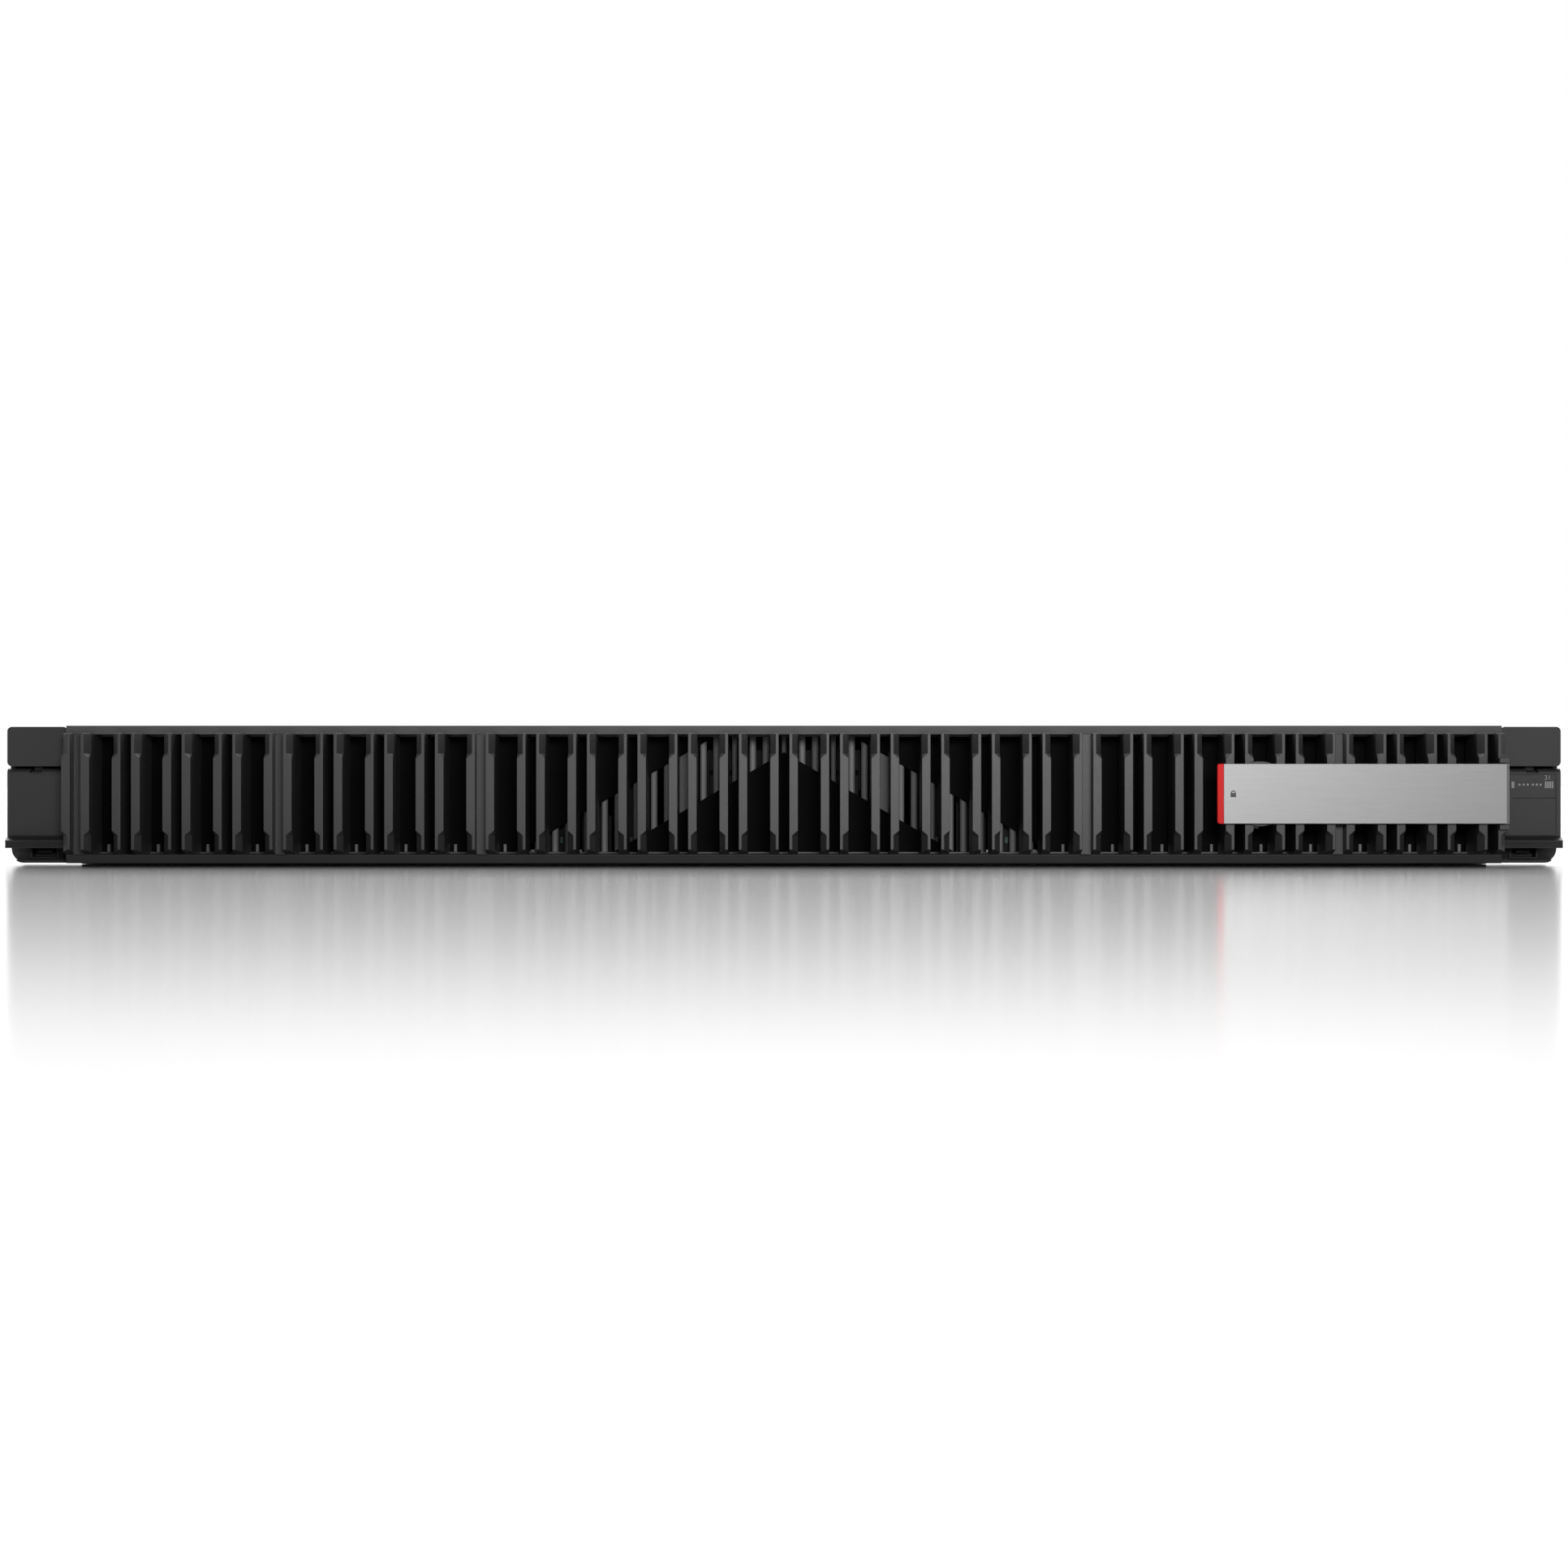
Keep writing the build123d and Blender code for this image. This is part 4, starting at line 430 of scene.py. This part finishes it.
def printedNumber(words, x, y, z, height, turn):
    # letters of the given height, standing proud of the face at y
    letter = {"sizePerHeight": 1.4, "proud": 0.00003}
    clearSelection()
    bpy.ops.object.text_add(location=(x, y, z), rotation=(math.radians(90), 0, math.radians(turn)))
    label = bpy.context.object
    label.data.body = words
    label.data.size = height * letter["sizePerHeight"]
    label.data.extrude = letter["proud"]
    label.data.align_x = "CENTER"
    label.data.align_y = "CENTER"
    bpy.ops.object.convert(target="MESH")
    return bpy.context.object


inkLight = mouldedPlastic("inkLight", 150, 160, 0.6, 0.00005)
# dark print for the rear numbers, also used as painted shade for the right cover's groove
darkInkAndGrooveShade = mouldedPlastic("darkInkAndGrooveShade", 14, 18, 0.6, 0.00005)
inkGrey = mouldedPlastic("inkGrey", 92, 98, 0.6, 0.00005)
lensGreen = mouldedPlastic("lensGreen", 44, 56, 0.2, 0.0001, (0.3, 1.4, 0.5))


def markRightCover():
    # bay chart on the right ear cover, and a thin dark line of painted shade along its groove
    chart = {"number": "31", "numberX": 0.23728, "numberZ": 0.02723, "numberHeight": 0.00145,
             "dotX": [0.22855, 0.22983, 0.2311, 0.23272, 0.23393, 0.23512], "dotZ": 0.0251,
             "dotSize": 0.00062, "stripX": [0.23671, 0.2374, 0.23809, 0.23878], "stripZ": 0.02505,
             "stripSize": (0.00052, 0.0021), "blockX": 0.22652, "blockSize": (0.0009, 0.002),
             "proud": 0.00006, "grooveX": 0.23295, "grooveZ": 0.0209, "grooveSize": (0.0135, 0.0003)}
    node = "right_ear_cover"
    parts = []

    def mark(x, z, width, height):
        y = frontOf(node, x, z)
        parts.append(bevelledBlock((x, y, z), (width, chart["proud"], height), chart["proud"] / 3, 1))

    for x in chart["dotX"]:
        mark(x, chart["dotZ"], chart["dotSize"], chart["dotSize"])
    for x in chart["stripX"]:
        mark(x, chart["stripZ"], *chart["stripSize"])
    mark(chart["blockX"], chart["stripZ"], *chart["blockSize"])
    y = frontOf(node, chart["numberX"], chart["numberZ"])
    parts.append(printedNumber(chart["number"], chart["numberX"], y, chart["numberZ"],
                               chart["numberHeight"], 0))
    settle(joined(parts), "rightCoverChart", inkLight, "right_ear_cover")
    # painted shade: a thin dark strip stands proud of the cover where its groove runs, in place of a cut
    length, width = chart["grooveSize"]
    y = frontOf(node, chart["grooveX"], chart["grooveZ"])
    line = bevelledBlock((chart["grooveX"], y, chart["grooveZ"]), (length, chart["proud"], width),
                         chart["proud"] / 3, 1)
    settle(line, "rightCoverGroove", darkInkAndGrooveShade, "right_ear_cover")


def markHandle():
    # a padlock sign by the red end
    lock = {"x": 0.1377, "z": 0.0219, "body": (0.0017, 0.00002, 0.0013), "bevel": 0.000006,
            "ring": 0.00055, "wire": 0.00016, "ringRise": 0.0007, "ringFlat": 0.06}
    x, z = lock["x"], lock["z"]
    y = frontOf("bezel_handle", x, z)
    body = bevelledBlock((x, y, z), lock["body"], lock["bevel"], 1)
    clearSelection()
    bpy.ops.mesh.primitive_torus_add(location=(x, y, z + lock["ringRise"]),
                                     rotation=(math.radians(90), 0, 0), major_radius=lock["ring"],
                                     minor_radius=lock["wire"], major_segments=24, minor_segments=8)
    ring = bpy.context.object
    ring.scale = (1, 1, lock["ringFlat"])
    bpy.ops.object.transform_apply(location=True, rotation=True, scale=True)
    settle(joined([body, ring]), "handleLockSign", inkGrey, "bezel_handle")


def addPortTicks():
    # contacts that glint in the ports under the ears
    ticks = {"leftX": [-0.2308, -0.2299, -0.2288], "rightX": [0.2285, 0.2293, 0.23], "drop": 0.0006,
             "inset": 0.0016, "size": (0.0004, 0.0012, 0.0003), "bevel": 0.00006}
    low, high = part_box("ear_ports")
    y, z = low.y + ticks["inset"], high.z - ticks["drop"]
    parts = [bevelledBlock((x, y, z), ticks["size"], ticks["bevel"], 1)
             for x in ticks["leftX"] + ticks["rightX"]]
    settle(joined(parts), "portTicks", portSteel, "chassis")


def addFanGuards():
    # wire guard in the fan mouth of each supply, and a lamp beside it
    guard = {"centres": {"inner": 0.10705, "outer": 0.18305}, "offset": 0.012, "z": 0.0212, "y": 0.7392,
             "rings": (0.0155, 0.0115, 0.0075, 0.004), "wire": 0.0005, "reach": 0.0176, "bar": 0.0009,
             "barBevel": 0.0002, "barFront": 0.0006}
    led = {"offset": 0.0285, "y": 0.74, "z": 0.0355, "radius": 0.0014, "flat": 0.5}
    for side, centre in guard["centres"].items():
        x = centre + guard["offset"]
        parts = []
        for radius in guard["rings"]:
            clearSelection()
            bpy.ops.mesh.primitive_torus_add(location=(x, guard["y"], guard["z"]),
                                             rotation=(math.radians(90), 0, 0), major_radius=radius,
                                             minor_radius=guard["wire"], major_segments=48, minor_segments=8)
            parts.append(bpy.context.object)
        for turn in (45, 135):
            bar = bevelledBlock((0, 0, 0), (2 * guard["reach"], guard["bar"], guard["bar"]),
                                guard["barBevel"], 2)
            bar.rotation_euler = (0, math.radians(turn), 0)
            bar.location = (x, guard["y"] - guard["barFront"], guard["z"])
            parts.append(bar)
        settle(joined(parts), side + "FanGuard", portSteel, side + "_supply")
        clearSelection()
        bpy.ops.mesh.primitive_uv_sphere_add(segments=20, ring_count=12, radius=led["radius"],
                                             location=(centre + led["offset"], led["y"], led["z"]))
        lens = bpy.context.object
        lens.scale = (1, led["flat"], 1)
        settle(lens, side + "SupplyLight", lensGreen, side + "_supply")


def screwHead(x, y, z, radius, height):
    # pan head with a cross recess, facing up; the shares are of its radius or height
    share = {"bevel": 0.35, "slotLength": 1.1, "slotWidth": 0.22, "slotBevel": 0.03}
    clearSelection()
    bpy.ops.mesh.primitive_cylinder_add(vertices=28, radius=radius, depth=height, location=(x, y, z))
    head = bpy.context.object
    bpy.ops.object.mode_set(mode="EDIT")
    bpy.ops.mesh.select_all(action="SELECT")
    bpy.ops.mesh.bevel(offset=height * share["bevel"], segments=2, affect="EDGES")
    bpy.ops.object.mode_set(mode="OBJECT")
    length, width = radius * share["slotLength"], radius * share["slotWidth"]
    slots = [bevelledBlock((x, y, z + height / 2), (across, along, height), radius * share["slotBevel"], 1)
             for across, along in ((length, width), (width, length))]
    for slot in slots:
        cut = head.modifiers.new("recess", "BOOLEAN")
        cut.operation = "DIFFERENCE"
        cut.solver = "EXACT"
        cut.object = slot
        clearSelection()
        head.select_set(True)
        bpy.context.view_layer.objects.active = head
        bpy.ops.object.modifier_apply(modifier="recess")
        bpy.data.objects.remove(slot)
    return head


def addCoverDetail():
    # pressed ribs and screws of the two covers
    cover = {"topZ": 0.043, "ribHeight": 0.00024, "ribX": (-0.16, -0.055, 0.055, 0.16),
             "ribSize": (0.012, 0.2), "ribY": (0.29, 0.62), "ribBevel": 0.0002,
             "screwRadius": 0.0027, "screwHeight": 0.0003,
             "frontScrews": ((-0.19, 0.12), (0.0, 0.12), (0.19, 0.12)),
             "rearScrews": ((-0.2, 0.725), (0.2, 0.725))}
    rib = bevelledBlock((cover["ribX"][0], cover["ribY"][0], cover["topZ"]),
                        (*cover["ribSize"], 2 * cover["ribHeight"]), cover["ribBevel"], 3)
    first = Vector((cover["ribX"][0], cover["ribY"][0], 0))
    offsets = [Vector((x, y, 0)) - first for x in cover["ribX"] for y in cover["ribY"]][1:]
    settle(joined(copiesAt(rib, offsets)), "coverRibs", coverSteel, "top_cover")
    for name, body, places in (("frontCoverScrews", "chassis", cover["frontScrews"]),
                               ("topCoverScrews", "top_cover", cover["rearScrews"])):
        x0, y0 = places[0]
        head = screwHead(x0, y0, cover["topZ"] + cover["screwHeight"] / 2, cover["screwRadius"],
                         cover["screwHeight"])
        offsets = [(x - x0, y - y0, 0) for x, y in places[1:]]
        settle(joined(copiesAt(head, offsets)), name, plainScrew, body)


def addSideRivets():
    # flush rivets along both sides of the tray
    rivet = {"radius": 0.0016, "z": 0.007, "firstY": 0.09, "pitch": 0.09, "count": 8, "proud": 0.0004}
    low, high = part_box("chassis_tray")
    clearSelection()
    bpy.ops.mesh.primitive_uv_sphere_add(segments=18, ring_count=10, radius=rivet["radius"],
                                         location=(high.x, rivet["firstY"], rivet["z"]))
    dome = bpy.context.object
    dome.scale = (rivet["proud"] / rivet["radius"], 1, 1)
    bpy.ops.object.transform_apply(location=True, rotation=True, scale=True)
    offsets = [(0, step * rivet["pitch"], 0) for step in range(1, rivet["count"])]
    offsets += [(low.x - high.x, step * rivet["pitch"], 0) for step in range(rivet["count"])]
    settle(joined(copiesAt(dome, offsets)), "sideRivets", portSteel, "chassis")


def addRearMarks():
    # plain numbers over the network sockets and on the supplies
    marks = {"socketX": (-0.191, -0.167, -0.143), "socketZ": 0.0204, "height": 0.0018, "y": 0.74003,
             "supplyX": {"inner": 0.0828, "outer": 0.1588}, "supplyZ": 0.0355, "supplyHeight": 0.0024}
    parts = [printedNumber(str(index + 1), x, marks["y"], marks["socketZ"], marks["height"], 180)
             for index, x in enumerate(marks["socketX"])]
    settle(joined(parts), "socketNumbers", darkInkAndGrooveShade, "chassis")
    for number, (side, x) in enumerate(marks["supplyX"].items()):
        label = printedNumber(str(number + 1), x, marks["y"], marks["supplyZ"], marks["supplyHeight"], 180)
        settle(label, side + "SupplyNumber", darkInkAndGrooveShade, side + "_supply")


def addDriveLights():
    # two small lenses low on each drive latch
    lamp = {"count": 32, "pitch": 0.0132, "z": 0.0075, "spread": 0.0022, "size": (0.0014, 0.0006, 0.0022),
            "bevel": 0.00015}
    firstX = -(lamp["count"] - 1) / 2 * lamp["pitch"]
    y = frontOf("drive_latches", firstX, lamp["z"])
    pair = joined([bevelledBlock((x, y, lamp["z"]), lamp["size"], lamp["bevel"], 1)
                   for x in (firstX - lamp["spread"], firstX + lamp["spread"])])
    offsets = [(step * lamp["pitch"], 0, 0) for step in range(1, lamp["count"])]
    settle(joined(copiesAt(pair, offsets)), "driveLights", lensGreen, "chassis")


plainScrew = satinMetal("plainScrew", 150, 0.35, (1, 1, 1), 0.0001)
markRightCover()
markHandle()
addPortTicks()
addFanGuards()
addCoverDetail()
addSideRivets()
addRearMarks()
addDriveLights()
print("small pieces added")


# floor, light and camera
def addFloor():
    # pale and glossy, with a dark blurred mirror image of the server
    floorLook = {"size": 40.0, "gap": 0.0001, "low": 250, "high": 253, "rough": 0.2, "coatRough": 0.15}
    clearSelection()
    bpy.ops.mesh.primitive_plane_add(size=floorLook["size"],
                                     location=(0, 0, cadBox[0][2] - floorLook["gap"]))
    floor = bpy.context.object
    floor.name = "floor"
    shade = Shade("paleFloor")
    place = objectPlace(shade)
    cloud = noise(shade, place, 3.0, 2.0)
    colour = mixColour(shade, cloud, grey(floorLook["low"]), grey(floorLook["high"]))
    floor.data.materials.append(shade.set(colour=colour, rough=floorLook["rough"], coat=1.0,
                                          coatRough=floorLook["coatRough"]))


def addFrontLamp():
    # lights the server alone, so no bright patch lies on the floor
    soft = {"place": (0.12, -1.1, 0.2), "aim": (0.03, 0, 0.02), "width": 0.3, "height": 0.14, "power": 4.1}
    light = bpy.data.lights.new("frontSoft", "AREA")
    light.shape = "RECTANGLE"
    light.size = soft["width"]
    light.size_y = soft["height"]
    light.energy = soft["power"]
    lamp = bpy.data.objects.new("frontSoft", light)
    lamp.location = soft["place"]
    lamp.rotation_euler = (Vector(soft["aim"]) - Vector(soft["place"])).to_track_quat("-Z", "Y").to_euler()
    bpy.context.scene.collection.objects.link(lamp)
    lit = bpy.data.collections.new("litByFrontLamp")
    for thing in bpy.data.objects:
        if thing.type == "MESH" and thing.name != "floor":
            lit.objects.link(thing)
    lamp.light_linking.receiver_collection = lit


def addSun():
    # broad soft light from above and behind, so the front and its foot stand in soft shade
    soft = {"strength": 4.4, "spread": 60, "tilt": 42}
    sun = bpy.data.lights.new("topSoft", "SUN")
    sun.energy = soft["strength"]
    sun.angle = math.radians(soft["spread"])
    lamp = bpy.data.objects.new("topSoft", sun)
    lamp.rotation_euler = (math.radians(-soft["tilt"]), 0, 0)
    bpy.context.scene.collection.objects.link(lamp)


def addWorld():
    # white to the camera and, behind the server, to reflections; dim to everything else
    studio = {"backdrop": 1.0, "ambient": 0.11, "from": -0.1, "to": 0.2}
    world = bpy.data.worlds.new("studio")
    bpy.context.scene.world = world
    world.use_nodes = True
    tree = world.node_tree
    sky = tree.nodes["Background"]
    sky.inputs["Color"].default_value = (1, 1, 1, 1)
    path = tree.nodes.new("ShaderNodeLightPath")
    where = tree.nodes.new("ShaderNodeTexCoord")
    parts = tree.nodes.new("ShaderNodeSeparateXYZ")
    tree.links.new(where.outputs["Generated"], parts.inputs[0])
    behind = tree.nodes.new("ShaderNodeMapRange")
    behind.inputs["From Min"].default_value = studio["from"]
    behind.inputs["From Max"].default_value = studio["to"]
    tree.links.new(parts.outputs["Y"], behind.inputs["Value"])
    mirrored = tree.nodes.new("ShaderNodeMath")
    mirrored.operation = "MULTIPLY"
    tree.links.new(behind.outputs["Result"], mirrored.inputs[0])
    tree.links.new(path.outputs["Is Glossy Ray"], mirrored.inputs[1])
    seen = tree.nodes.new("ShaderNodeMath")
    seen.operation = "MAXIMUM"
    tree.links.new(mirrored.outputs[0], seen.inputs[0])
    tree.links.new(path.outputs["Is Camera Ray"], seen.inputs[1])
    level = tree.nodes.new("ShaderNodeMapRange")
    level.inputs["To Min"].default_value = studio["ambient"]
    level.inputs["To Max"].default_value = studio["backdrop"]
    tree.links.new(seen.outputs[0], level.inputs["Value"])
    tree.links.new(level.outputs["Result"], sky.inputs["Strength"])


def addCamera():
    # level and straight on, one metre in front of the ears
    shot = {"distance": 1.0, "height": 0.0253, "earFront": -0.022, "lens": 73.9, "nearest": 0.01}
    camera = bpy.data.cameras.new("camera")
    camera.lens = shot["lens"]
    camera.sensor_width = 36.0
    camera.clip_start = shot["nearest"]
    holder = bpy.data.objects.new("camera", camera)
    holder.location = (0, shot["earFront"] - shot["distance"], shot["height"])
    holder.rotation_euler = (math.radians(90), 0, 0)
    bpy.context.scene.collection.objects.link(holder)
    bpy.context.scene.camera = holder


addFloor()
addWorld()
addFrontLamp()
addSun()
addCamera()
bpy.context.scene.view_settings.view_transform = "Standard"
print("floor, light and camera set")
